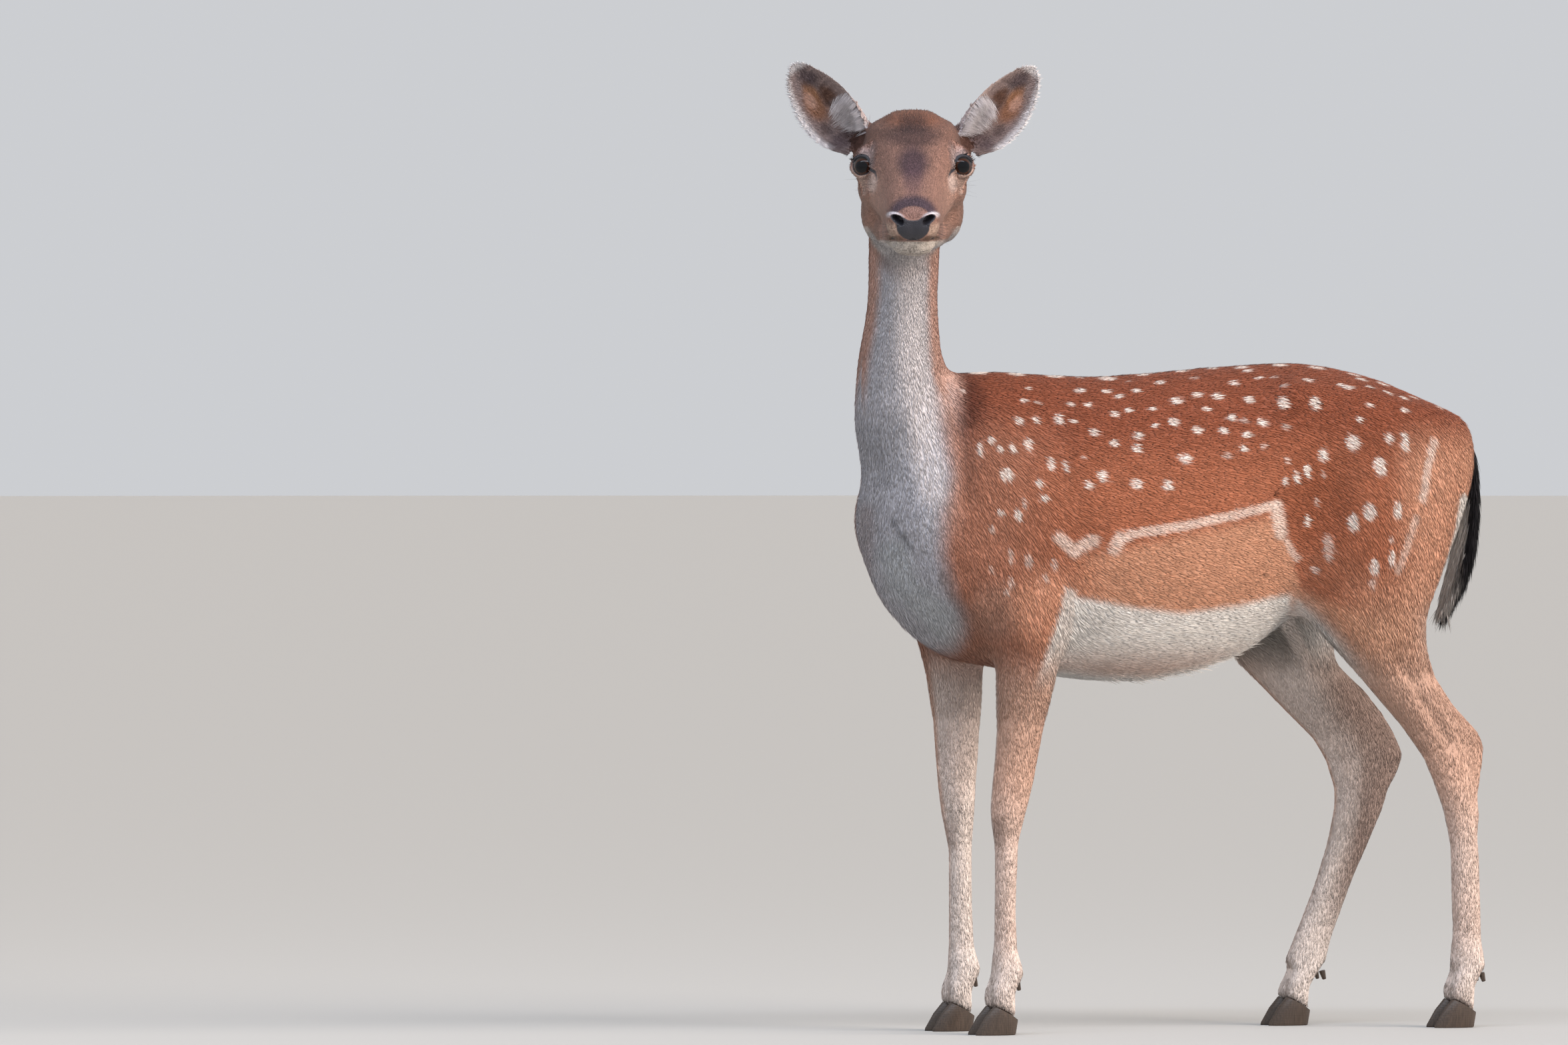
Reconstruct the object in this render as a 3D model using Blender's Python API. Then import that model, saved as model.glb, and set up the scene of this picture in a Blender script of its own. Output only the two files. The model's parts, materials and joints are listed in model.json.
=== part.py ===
# Fallow doe, standing with its head turned to its left, as a life-size still model.
# Metres, +Z up. The body runs along X: the chest looks towards -X, and -Y is the animal's left side.
# The flesh is lofted from sections and muscle shapes, made one surface by a voxel remesh, and parted
# with thin cuts. Ears, eyes, tail, hooves and dewclaws are pieces of their own, set into the flesh.

import math

import bmesh
import bpy
import numpy as np
from mathutils import Matrix, Vector

# ---------------------------------------------------------------- driving dimensions
WITHERS_HEIGHT = 0.80  # the finished model is scaled to this
DRAWN_WITHERS = 0.832  # every other size here is drawn for a doe this high at the withers

HEAD_TURN = math.radians(68)  # from straight ahead, towards the animal's left
HEAD_DIP = math.radians(1.0)
EYE_MIDDLE = Vector((-0.144, -0.118, 1.0835))  # halfway between the two eyes
EYE_RADIUS = 0.0165
EYE_AHEAD, EYE_OUT = 0.005, 0.0575  # an eye's centre, ahead of and out from that middle
LID_OPENING = (0.0150, 0.0116, 0.0110)  # radii: along the lids, up, outwards
LID_DEPTH = 0.004  # from the globe's front to the opening's middle

EAR_LENGTH = 0.130
EAR_BACK = 0.076  # the root's distance behind the eyes
EAR_SPREAD = {-1: 0.655, 1: 0.67}  # the right ear stands a little steeper
EAR_ROOT = {-1: (0.0625, 0.0285), 1: (0.065, 0.026)}  # out from the middle plane, above the eyes
EAR_FULLNESS = {-1: 1.06, 1: 1.0}
EAR_STEPS = 7  # across the shell

HOOF_LENGTH, HOOF_WIDTH = 0.056, 0.0205  # of one claw
HOOF_POINTS = 12
TOE_SPREAD = 0.0125  # each claw's middle from the leg's middle
CORONET_TOE, CORONET_HEEL = 0.037, 0.019  # the hairline's height at the toe and at the heel
TOE_LEAN, HEEL_LEAN = 0.026, 0.003  # how far the hoof's front and back slope backwards
DEWCLAW = (0.0068, 0.0040, 0.016)  # radius at the root, radius at the tip, length
DEWCLAW_LEAN = math.radians(163)

FORE_CUTS = (0.402, 0.186, 0.088)  # heights of the elbow, knee and fetlock cuts
HIND_CUTS = (0.455, 0.232, 0.088)  # heights of the stifle, hock and fetlock cuts
GAP = 0.0005  # between neighbouring pieces

VOXEL = 0.004
RING = 28  # points in a section
SMOOTHINGS = 60
HEAD_SHARE = 0.06  # of the trunk's smoothing that the head takes
NECK_TOP = 0.97  # above this height the mesh keeps its small faces
ALL_KEEP, BODY_KEEPS = 0.0435, 0.395  # shares of the faces left by the two thinnings
SHARP_ANGLE = math.radians(50)

# Sections of the trunk: x, back, keel, half width, height of the widest place
TRUNK = [
    (-0.160, 0.685, 0.615, 0.020, 0.650),
    (-0.150, 0.722, 0.572, 0.050, 0.650),
    (-0.120, 0.776, 0.520, 0.080, 0.650),
    (-0.080, 0.812, 0.486, 0.097, 0.640),
    (-0.040, 0.828, 0.466, 0.106, 0.625),
    (0.010, 0.832, 0.456, 0.112, 0.615),
    (0.080, 0.827, 0.446, 0.121, 0.610),
    (0.150, 0.824, 0.438, 0.129, 0.610),
    (0.220, 0.828, 0.438, 0.132, 0.615),
    (0.290, 0.834, 0.451, 0.128, 0.625),
    (0.350, 0.838, 0.472, 0.120, 0.650),
    (0.400, 0.840, 0.505, 0.110, 0.690),
    (0.450, 0.838, 0.535, 0.104, 0.710),
    (0.520, 0.823, 0.550, 0.096, 0.710),
    (0.570, 0.806, 0.570, 0.084, 0.705),
    (0.612, 0.784, 0.600, 0.062, 0.700),
    (0.640, 0.752, 0.640, 0.034, 0.700),
]
BACK_SQUARE, KEEL_SQUARE = 1.85, 2.15  # 2 is an ellipse, more is squarer
AHEAD, SIDE, UP = Vector((-1, 0, 0)), Vector((0, 1, 0)), Vector((0, 0, 1))

# Sections of the neck: x, y, height, half width, half depth, turn of the throat in degrees
NECK = [
    (-0.060, 0.000, 0.660, 0.070, 0.090, 0),
    (-0.080, 0.000, 0.710, 0.070, 0.084, 8),
    (-0.100, -0.002, 0.765, 0.064, 0.078, 18),
    (-0.111, -0.006, 0.810, 0.058, 0.070, 34),
    (-0.117, -0.011, 0.850, 0.052, 0.064, 48),
    (-0.1165, -0.016, 0.890, 0.047, 0.058, 58),
    (-0.1165, -0.020, 0.930, 0.0445, 0.056, 64),
    (-0.117, -0.026, 0.990, 0.0455, 0.056, 67),
    (-0.119, -0.032, 1.050, 0.0465, 0.054, 68),
    (-0.121, -0.038, 1.090, 0.0420, 0.046, 68),
]

# Sections of the head ahead of the eyes' middle: distance ahead, top, bottom, half width, widest height
SKULL = [
    (-0.118, 0.028, -0.030, 0.024, -0.002),
    (-0.106, 0.046, -0.050, 0.043, -0.002),
    (-0.080, 0.061, -0.062, 0.060, 0.000),
    (-0.045, 0.070, -0.066, 0.0620, 0.000),
    (-0.010, 0.063, -0.070, 0.0600, -0.010),
    (0.018, 0.048, -0.075, 0.0550, -0.020),
    (0.045, 0.030, -0.080, 0.0480, -0.030),
    (0.070, 0.011, -0.084, 0.0415, -0.042),
    (0.095, -0.007, -0.087, 0.0370, -0.052),
    (0.115, -0.020, -0.0895, 0.0350, -0.060),
    (0.130, -0.031, -0.0910, 0.0335, -0.066),
    (0.143, -0.043, -0.0905, 0.0310, -0.069),
    (0.150, -0.051, -0.0875, 0.0265, -0.070),
    (0.1545, -0.060, -0.0800, 0.0180, -0.070),
]
JAW = [
    (-0.092, -0.020, -0.070, 0.036, -0.045),
    (-0.070, -0.020, -0.094, 0.050, -0.056),
    (-0.030, -0.030, -0.103, 0.051, -0.066),
    (0.010, -0.050, -0.105, 0.045, -0.078),
    (0.050, -0.070, -0.106, 0.0365, -0.086),
    (0.085, -0.080, -0.109, 0.0300, -0.092),
    (0.115, -0.085, -0.1125, 0.0260, -0.097),
    (0.130, -0.088, -0.1120, 0.0225, -0.098),
    (0.141, -0.090, -0.1060, 0.0140, -0.098),
]

# Sections of the tail: the middle's x and height, half width, half thickness
TAIL = [
    (0.622, 0.757, 0.014, 0.011),
    (0.642, 0.750, 0.019, 0.014),
    (0.657, 0.724, 0.022, 0.014),
    (0.663, 0.680, 0.024, 0.013),
    (0.660, 0.620, 0.025, 0.013),
    (0.647, 0.570, 0.022, 0.013),
    (0.628, 0.526, 0.010, 0.007),
]

# Sections of an ear: share of its length, half width, half of its arc in degrees, thickness
EAR = [
    (0.00, 0.0185, 128, 0.0075),
    (0.12, 0.0265, 112, 0.0068),
    (0.28, 0.0345, 90, 0.0060),
    (0.45, 0.0370, 74, 0.0055),
    (0.62, 0.0340, 62, 0.0052),
    (0.80, 0.0255, 52, 0.0050),
    (0.93, 0.0145, 44, 0.0044),
    (1.00, 0.0030, 36, 0.0030),
]

# Legs, cut level: height, front edge, back edge, middle from the body's middle plane, half width
FORE_NEAR = [
    (0.570, -0.060, 0.085, 0.074, 0.040),
    (0.510, -0.030, 0.084, 0.074, 0.040),
    (0.4625, -0.014, 0.072, 0.073, 0.035),
    (0.421, -0.011, 0.062, 0.071, 0.030),
    (0.3875, -0.010, 0.054, 0.070, 0.0265),
    (0.346, -0.012, 0.046, 0.068, 0.0235),
    (0.318, -0.0145, 0.041, 0.067, 0.0220),
    (0.296, -0.016, 0.0355, 0.066, 0.0225),
    (0.275, -0.0165, 0.030, 0.066, 0.0220),
    (0.254, -0.015, 0.0245, 0.066, 0.0185),
    (0.233, -0.012, 0.0205, 0.066, 0.0150),
    (0.170, -0.0125, 0.0180, 0.066, 0.0140),
    (0.120, -0.0130, 0.0185, 0.066, 0.0145),
    (0.095, -0.0145, 0.0215, 0.066, 0.0165),
    (0.076, -0.0165, 0.0250, 0.066, 0.0185),
]
FORE_FAR = [
    (0.570, -0.100, 0.045, 0.074, 0.040),
    (0.510, -0.068, 0.042, 0.074, 0.040),
    (0.4625, -0.050, 0.031, 0.073, 0.035),
    (0.421, -0.042, 0.028, 0.071, 0.030),
    (0.3875, -0.038, 0.025, 0.070, 0.0265),
    (0.346, -0.036, 0.021, 0.068, 0.0235),
    (0.308, -0.033, 0.018, 0.067, 0.0220),
    (0.286, -0.030, 0.0165, 0.066, 0.0225),
    (0.265, -0.0265, 0.0155, 0.066, 0.0210),
    (0.242, -0.022, 0.0135, 0.066, 0.0165),
    (0.222, -0.0195, 0.0130, 0.066, 0.0148),
    (0.170, -0.0185, 0.0130, 0.066, 0.0140),
    (0.120, -0.0185, 0.0150, 0.066, 0.0145),
    (0.095, -0.0195, 0.0180, 0.066, 0.0165),
    (0.076, -0.0210, 0.0215, 0.066, 0.0185),
]
HIND_NEAR = [
    (0.790, 0.455, 0.600, 0.050, 0.036),
    (0.750, 0.420, 0.632, 0.056, 0.047),
    (0.710, 0.402, 0.645, 0.060, 0.051),
    (0.670, 0.390, 0.640, 0.063, 0.053),
    (0.620, 0.378, 0.624, 0.066, 0.052),
    (0.570, 0.374, 0.602, 0.069, 0.049),
    (0.540, 0.386, 0.589, 0.071, 0.045),
    (0.5125, 0.410, 0.577, 0.073, 0.041),
    (0.479, 0.445, 0.576, 0.074, 0.036),
    (0.446, 0.477, 0.587, 0.074, 0.031),
    (0.408, 0.513, 0.612, 0.073, 0.0265),
    (0.383, 0.536, 0.637, 0.072, 0.0240),
    (0.3625, 0.553, 0.653, 0.071, 0.0225),
    (0.339, 0.570, 0.6555, 0.070, 0.0215),
    (0.315, 0.582, 0.6510, 0.070, 0.0205),
    (0.291, 0.592, 0.6475, 0.070, 0.0195),
    (0.270, 0.599, 0.6490, 0.070, 0.0180),
    (0.236, 0.606, 0.6475, 0.070, 0.0165),
    (0.1885, 0.609, 0.6490, 0.070, 0.0155),
    (0.125, 0.6105, 0.6500, 0.070, 0.0155),
    (0.098, 0.6090, 0.6530, 0.070, 0.0175),
    (0.078, 0.6060, 0.6570, 0.070, 0.0195),
]
HIND_FAR = [
    (0.790, 0.450, 0.600, 0.050, 0.036),
    (0.750, 0.415, 0.632, 0.056, 0.047),
    (0.710, 0.392, 0.642, 0.060, 0.051),
    (0.670, 0.374, 0.630, 0.063, 0.053),
    (0.620, 0.358, 0.604, 0.066, 0.052),
    (0.570, 0.350, 0.572, 0.069, 0.049),
    (0.530, 0.345, 0.540, 0.072, 0.045),
    (0.495, 0.358, 0.516, 0.073, 0.041),
    (0.4625, 0.374, 0.513, 0.073, 0.036),
    (0.442, 0.394, 0.535, 0.073, 0.033),
    (0.421, 0.416, 0.556, 0.073, 0.030),
    (0.3875, 0.452, 0.583, 0.072, 0.026),
    (0.3625, 0.478, 0.598, 0.071, 0.0235),
    (0.346, 0.490, 0.6045, 0.070, 0.0225),
    (0.331, 0.498, 0.6045, 0.070, 0.0215),
    (0.314, 0.504, 0.597, 0.070, 0.0205),
    (0.295, 0.509, 0.586, 0.070, 0.0195),
    (0.270, 0.508, 0.578, 0.070, 0.0180),
    (0.236, 0.501, 0.562, 0.070, 0.0165),
    (0.1875, 0.4855, 0.5375, 0.070, 0.0155),
    (0.125, 0.4600, 0.5120, 0.070, 0.0155),
    (0.098, 0.4480, 0.5030, 0.070, 0.0175),
    (0.078, 0.4400, 0.4990, 0.070, 0.0195),
]

NECK_MIDDLE = Vector((-0.11, -0.02, 0.90))
TRUNK_MIDDLE = Vector((0.25, 0, 0.62))

# Where each foot stands: the middle of its hoof's sole along X, and the leg's own sections
FEET = {
    "fore_left": (-0.016, -1, FORE_NEAR),
    "fore_right": (-0.020, 1, FORE_FAR),
    "hind_left": (0.607, -1, HIND_NEAR),
    "hind_right": (0.440, 1, HIND_FAR),
}


# ---------------------------------------------------------------- shape tools
def refined(rows, steps=4):
    """The rows with others between them, on a smooth curve through all of them."""
    rows = np.array(rows, float)
    ends = np.vstack([2 * rows[0] - rows[1], rows, 2 * rows[-1] - rows[-2]])
    made = []
    for i in range(1, len(ends) - 2):
        before, start, end, after = ends[i - 1 : i + 3]
        for t in np.arange(steps) / steps:
            slope_in, slope_out = (end - before) / 2, (after - start) / 2
            h = (2 * t**3 - 3 * t**2 + 1, t**3 - 2 * t**2 + t, 3 * t**2 - 2 * t**3, t**3 - t**2)
            made.append(h[0] * start + h[1] * slope_in + h[2] * end + h[3] * slope_out)
    return np.array(made + [rows[-1]])


def section(centre, across, ahead, half_across, reach_ahead, reach_behind, squares=(2.0, 2.0)):
    """A closed ring of points, rounder or squarer in its ahead and behind halves."""
    points = []
    for i in range(RING):
        angle = 2 * math.pi * i / RING
        c, s = math.cos(angle), math.sin(angle)
        power = 2 / squares[0 if s > 0 else 1]
        u = half_across * math.copysign(abs(c) ** power, c)
        v = (reach_ahead if s > 0 else reach_behind) * math.copysign(abs(s) ** power, s)
        points.append(centre + across * u + ahead * v)
    return points


def finished(bm):
    """The mesh of a bmesh, with its normals outward."""
    bm.normal_update()
    bmesh.ops.recalc_face_normals(bm, faces=bm.faces)
    mesh = bpy.data.meshes.new("shape")
    bm.to_mesh(mesh)
    bm.free()
    return mesh


def skin_of(rings):
    """A closed mesh through rings of equally many points, with a flat cap at each end."""
    bm = bmesh.new()
    loops = [[bm.verts.new(p) for p in points] for points in rings]
    for first, second in zip(loops, loops[1:]):
        for i in range(len(first)):
            j = (i + 1) % len(first)
            bm.faces.new((first[i], first[j], second[j], second[i]))
    bm.faces.new(loops[0][::-1])
    bm.faces.new(loops[-1])
    return finished(bm)


def muscle(centre, radii, tilt=(0, 0), place=Matrix.Identity(4)):
    """An ellipsoid, tilted by some degrees about X and then about Y."""
    bm = bmesh.new()
    bmesh.ops.create_icosphere(bm, subdivisions=3, radius=1)
    turn = Matrix.Identity(4)
    for degrees, axis in zip(tilt, "XY"):
        turn = Matrix.Rotation(math.radians(degrees), 4, axis) @ turn
    bm.transform(place @ Matrix.Translation(centre) @ turn @ Matrix.Diagonal((*radii, 1)))
    return finished(bm)


def object_of(name, mesh):
    made = bpy.data.objects.new(name, mesh)
    bpy.context.scene.collection.objects.link(made)
    return made


def joined(name, meshes):
    """One object that holds several meshes, each still a body of its own."""
    bm = bmesh.new()
    for mesh in meshes:
        bm.from_mesh(mesh)
        bpy.data.meshes.remove(mesh)
    return object_of(name, finished(bm))


def applied(made):
    """Replaces an object's mesh by the one its modifiers make."""
    graph = bpy.context.evaluated_depsgraph_get()
    mesh = bpy.data.meshes.new_from_object(made.evaluated_get(graph))
    made.modifiers.clear()
    made.data = mesh
    return made


def relaxed(mesh, rounds, share, inward=0.5, outward=-0.52):
    """Evens out a mesh's surface: in and then out where share is 0, only inwards where it is 1."""
    count = len(mesh.vertices)
    places = np.empty(count * 3)
    mesh.vertices.foreach_get("co", places)
    places = places.reshape(-1, 3)
    ends = np.empty(len(mesh.edges) * 2, int)
    mesh.edges.foreach_get("vertices", ends)
    first, second = ends.reshape(-1, 2).T
    links = np.bincount(first, minlength=count) + np.bincount(second, minlength=count)
    plain = share(places)[:, None]
    for step in [inward, outward * (1 - plain)] * rounds:
        sums = np.empty_like(places)
        for axis in range(3):
            sums[:, axis] = np.bincount(first, places[second, axis], count)
            sums[:, axis] += np.bincount(second, places[first, axis], count)
        places += step * (sums / links[:, None] - places)
    mesh.vertices.foreach_set("co", places.ravel())
    mesh.update()


def bulk(places):
    """1 on the trunk and the thick of the limbs, HEAD_SHARE on the head, 0 on the lower legs."""
    height = places[:, 2]
    above_legs = np.clip((height - 0.47) / 0.10, 0, 1)
    up_neck = np.clip((height - 0.84) / 0.12, 0, 1)
    return above_legs * (1 - (1 - HEAD_SHARE) * up_neck)


def fewer_faces(made, share, group=""):
    """Collapses edges, in a vertex group alone if it is named."""
    thin = made.modifiers.new("fewer_faces", "DECIMATE")
    thin.ratio = share
    if group:
        thin.vertex_group, thin.vertex_group_factor = group, 1.0
    applied(made)


# ---------------------------------------------------------------- the head's own frame
def head_frame():
    """Places a point given as (ahead of the eyes, out to the animal's left, up)."""
    ahead = Vector((-math.cos(HEAD_TURN), -math.sin(HEAD_TURN), 0))
    left = Vector((math.sin(HEAD_TURN), -math.cos(HEAD_TURN), 0))
    turn = Matrix((ahead, left, Vector((0, 0, 1)))).transposed().to_4x4()
    dip = Matrix.Rotation(HEAD_DIP, 4, "Y")
    return Matrix.Translation(EYE_MIDDLE) @ turn @ dip


HEAD = head_frame()
HEAD_AXES = HEAD.to_3x3()


# ---------------------------------------------------------------- flesh
def trunk():
    rings = []
    for x, back, keel, half, wide in refined(TRUNK):
        reach = (half, back - wide, wide - keel)
        rings.append(section(Vector((x, 0, wide)), SIDE, UP, *reach, (BACK_SQUARE, KEEL_SQUARE)))
    return skin_of(rings)


def neck():
    rings = []
    for x, y, z, half, depth, turn in refined(NECK):
        throat = Vector((-math.cos(math.radians(turn)), -math.sin(math.radians(turn)), 0))
        side = Vector((-throat.y, throat.x, 0))
        rings.append(section(Vector((x, y, z)), side, throat, half, depth, depth))
    return skin_of(rings)


def head_loft(rows, squares):
    rings = []
    for ahead, top, bottom, half, wide in refined(rows):
        centre = HEAD @ Vector((ahead, 0, wide))
        reach = (half, top - wide, wide - bottom)
        rings.append(section(centre, HEAD_AXES @ SIDE, HEAD_AXES @ UP, *reach, squares))
    return skin_of(rings)


def head():
    shapes = [head_loft(SKULL, (2.9, 2.4)), head_loft(JAW, (2.0, 2.7))]
    for side in (-1, 1):
        shapes += [
            muscle((-0.002, side * 0.0485, 0.002), (0.034, 0.0265, 0.029), place=HEAD),  # eye socket
            muscle((-0.026, side * 0.043, -0.026), (0.056, 0.025, 0.030), place=HEAD),  # cheekbone
            muscle((-0.046, side * 0.038, -0.056), (0.046, 0.0260, 0.041), place=HEAD),  # cheek
            muscle((0.050, side * 0.0215, -0.080), (0.072, 0.0165, 0.020), place=HEAD),  # lips' side
            muscle((0.134, side * 0.0190, -0.069), (0.021, 0.0140, 0.0165), place=HEAD),  # nostril wing
            muscle((-0.090, side * 0.052, 0.021), (0.023, 0.023, 0.026), place=HEAD),  # ear's root
        ]
    return shapes


def leg(name):
    """A leg's flesh in level slices, with its two toes."""
    sole, side, rows = FEET[name]
    rings = []
    for z, front, back, out, half in refined(rows):
        share, pinch = 0.5, 1.9
        if name.startswith("hind") and z > HIND_CUTS[1]:
            share = 0.42  # the thigh and hock are thickest towards the front
            pinch = 1.55 if z < HIND_CUTS[0] else 1.9  # the heel tendon makes a thin back edge
        middle = front + (back - front) * share
        reach = (half, middle - front, back - middle)
        rings.append(section(Vector((middle, side * out, z)), SIDE, AHEAD, *reach, (2.1, pinch)))
    z, front, back, out, half = rows[-1]
    return [skin_of(rings)] + [digit((front + back) / 2, side * out, z, sole, toe) for toe in (-1, 1)]


def digit(fetlock, y, z, sole, toe):
    """One toe, from the fetlock forwards and down into its hoof: x, y, z, half length, half width."""
    path = [
        (fetlock + 0.002, y + toe * 0.006, z + 0.018, 0.0165, 0.0120),
        (fetlock + 0.001, y + toe * 0.009, z - 0.002, 0.0200, 0.0120),
        (fetlock * 0.55 + sole * 0.45, y + toe * TOE_SPREAD, 0.052, 0.0175, 0.0108),
        (sole + 0.012, y + toe * TOE_SPREAD, 0.034, 0.0180, 0.0110),
        (sole + 0.010, y + toe * TOE_SPREAD, 0.012, 0.0190, 0.0105),
    ]
    return skin_of([section(Vector(row[:3]), SIDE, AHEAD, row[4], row[3], row[3]) for row in refined(path)])


def shoulders():
    shapes = []
    for side, shift in ((-1, 0.0), (1, -0.016)):
        shapes += [
            muscle((-0.032 + shift, side * 0.061, 0.695), (0.066, 0.046, 0.118), (side * 9, 22)),
            muscle((-0.093 + shift, side * 0.060, 0.642), (0.044, 0.038, 0.062)),  # shoulder's point
            muscle((-0.040 + shift, side * 0.078, 0.580), (0.082, 0.041, 0.062), (0, 40)),  # upper arm
            muscle((0.022 + shift, side * 0.080, 0.565), (0.066, 0.037, 0.085), (0, -8)),  # triceps
            muscle((0.056 + shift, side * 0.076, 0.498), (0.030, 0.025, 0.032)),  # elbow
        ]
    return shapes


def haunches():
    shapes = []
    for side, shift in ((-1, 0.0), (1, -0.012)):
        shapes += [
            muscle((0.398, side * 0.066, 0.796), (0.040, 0.026, 0.024), (0, 20)),  # hip bone
            muscle((0.470 + shift, side * 0.066, 0.700), (0.105, 0.048, 0.120), (side * 6, 18)),
            muscle((0.425 + shift * 2, side * 0.078, 0.595), (0.060, 0.042, 0.075), (0, 25)),  # stifle
            muscle((0.612, side * 0.040, 0.710), (0.046, 0.032, 0.075), (0, 12)),  # buttock
        ]
    return shapes


def tail():
    rings = []
    rows = refined(TAIL, 2)
    for i, (x, z, half, thick) in enumerate(rows):
        near = rows[min(i + 1, len(rows) - 1)] - rows[max(i - 1, 0)]
        outward = Vector((near[0], 0, near[1])).normalized().cross(SIDE)
        rings.append(section(Vector((x, 0, z)), SIDE, outward, half, thick, thick)[::2])
    return skin_of(rings)


# ---------------------------------------------------------------- ears, eyes, hooves
def ear_frame(side):
    """At the ear's root: its length outwards and up, its open side forwards."""
    along = Vector((0.10, side * EAR_SPREAD[side], 0.735)).normalized()
    face = Vector((0.93, side * 0.20, -0.30))
    face = (face - along * face.dot(along)).normalized()
    across = face.cross(along)
    turn = Matrix((across, along, face)).transposed().to_4x4()
    out, above = EAR_ROOT[side]
    return HEAD @ Matrix.Translation((-EAR_BACK, side * out, above)) @ turn


def ear(side):
    """A cupped leaf: each section is a crescent, more curled towards the root."""
    place = ear_frame(side)
    rings = []
    for share, half, arc, thick in refined(EAR, 2):
        curl = math.radians(arc)
        radius = half * EAR_FULLNESS[side] / math.sin(min(curl, math.pi / 2))
        middle = radius * (0.35 * math.cos(curl) + 0.55)
        outer, inner = [], []
        for i in range(EAR_STEPS + 1):
            across = 2 * i / EAR_STEPS - 1
            rim = 0.35 + 0.65 * math.cos(math.pi / 2 * across) ** 0.6  # the shell thins to its rims
            for ring, r in ((outer, radius + thick * rim / 2), (inner, radius - thick * rim / 2)):
                turn = curl * across
                spot = Vector((r * math.sin(turn), share * EAR_LENGTH, middle - r * math.cos(turn)))
                ring.append(place @ spot)
        rings.append(outer + inner[::-1])
    return skin_of(rings)


def eye_outward(side):
    """The way an eye looks, in the head's frame."""
    return Vector((0.62, side * 0.78, 0.03)).normalized()


def eye(side):
    bm = bmesh.new()
    bmesh.ops.create_uvsphere(bm, u_segments=14, v_segments=9, radius=EYE_RADIUS)
    turn = eye_outward(side).to_track_quat("Z", "Y").to_matrix().to_4x4()
    bm.transform(HEAD @ Matrix.Translation((EYE_AHEAD, side * EYE_OUT, 0)) @ turn)
    return finished(bm)


def lid_opening(side):
    """The almond space in front of an eye, between its lids."""
    outward = eye_outward(side)
    along = Vector((outward.y, -outward.x, 0)).normalized()
    up = outward.cross(along)
    turn = Matrix((along, up, outward)).transposed().to_4x4()
    centre = Vector((EYE_AHEAD, side * EYE_OUT, 0)) + outward * (EYE_RADIUS + LID_DEPTH)
    return muscle((0, 0, 0), LID_OPENING, place=HEAD @ Matrix.Translation(centre) @ turn)


def coronet(x, sole, lowered=0.0):
    """The hairline's height above the floor at a place along the foot."""
    front = sole - HOOF_LENGTH / 2 + TOE_LEAN
    back = sole + HOOF_LENGTH / 2 + HEEL_LEAN
    share = (x - front) / (back - front)
    return CORONET_TOE + (CORONET_HEEL - CORONET_TOE) * share - lowered


def hoof(sole, y, outer):
    """One claw: straight on its inner side, bowed on its outer side, its front sloping back."""
    rings = []
    for share, size in ((0.0, 0.96), (0.06, 1.0), (0.5, 0.96), (1.0, 0.90)):
        front = sole - HOOF_LENGTH / 2 + TOE_LEAN * share
        back = sole + HOOF_LENGTH / 2 + HEEL_LEAN * share
        middle, half = (front + back) / 2, (back - front) / 2
        points = []
        for i in range(HOOF_POINTS):
            angle = 2 * math.pi * i / HOOF_POINTS
            c, s = math.cos(angle), math.sin(angle)
            x = middle - half * c * (size if share < 0.1 else 1)
            width = HOOF_WIDTH * (0.54 if s * outer > 0 else 0.44) * size
            taper = 1 - 0.5 * (1 - share) * max(c, 0) ** 2  # narrower towards the toe
            points.append(Vector((x, y + s * width * taper, coronet(x, sole, GAP) * share)))
        rings.append(points)
    return skin_of(rings)


def dewclaw(name, toe):
    """A small blunt claw behind the fetlock."""
    sole, side, rows = FEET[name]
    z, front, back, out, half = rows[-1]
    root, tip, length = DEWCLAW
    bm = bmesh.new()
    bmesh.ops.create_cone(bm, cap_ends=True, segments=8, radius1=root, radius2=tip, depth=length)
    turn = Matrix.Rotation(DEWCLAW_LEAN, 4, "Y") @ Matrix.Rotation(math.radians(toe * 8), 4, "Z")
    place = Matrix.Translation((back - 0.003, side * out + toe * 0.0105, z - 0.015))
    bm.transform(place @ turn @ Matrix.Diagonal((0.8, 1, 1, 1)))
    return finished(bm)


# ---------------------------------------------------------------- the cuts between pieces
def slab(centre, normal, half_long, half_wide):
    """A thin cutter square to normal; its wide way is level."""
    bm = bmesh.new()
    bmesh.ops.create_cube(bm, size=2)
    face = Vector(normal).normalized()
    long = SIDE.cross(face).normalized()
    turn = Matrix((long, face.cross(long), face)).transposed().to_4x4()
    bm.transform(Matrix.Translation(centre) @ turn @ Matrix.Diagonal((half_long, half_wide, GAP / 2, 1)))
    return finished(bm)


def grown(mesh):
    """A copy with each point moved out along its normal by GAP."""
    copy = mesh.copy()
    for vertex, original in zip(copy.vertices, mesh.vertices):
        vertex.co = original.co + original.normal * GAP
    return copy


def leg_middle(name, z):
    """The middle of a leg at a height, as a point."""
    sole, side, rows = FEET[name]
    heights = [row[0] for row in rows][::-1]
    middle = [(row[1] + row[2]) / 2 for row in rows][::-1]
    out = [row[3] for row in rows][::-1]
    return Vector((np.interp(z, heights, middle), side * np.interp(z, heights, out), z))


def below_hairline(name):
    """A block that takes the toes off at the hoof's hairline."""
    sole, side, rows = FEET[name]
    y = side * rows[-1][3]
    bm = bmesh.new()
    for x in (sole - HOOF_LENGTH, sole + HOOF_LENGTH):
        for wide in (-2 * HOOF_WIDTH, 2 * HOOF_WIDTH):
            bm.verts.new((x, y + wide, -CORONET_TOE))
            bm.verts.new((x, y + wide, coronet(x, sole)))
    bmesh.ops.convex_hull(bm, input=bm.verts)
    return finished(bm)


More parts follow.
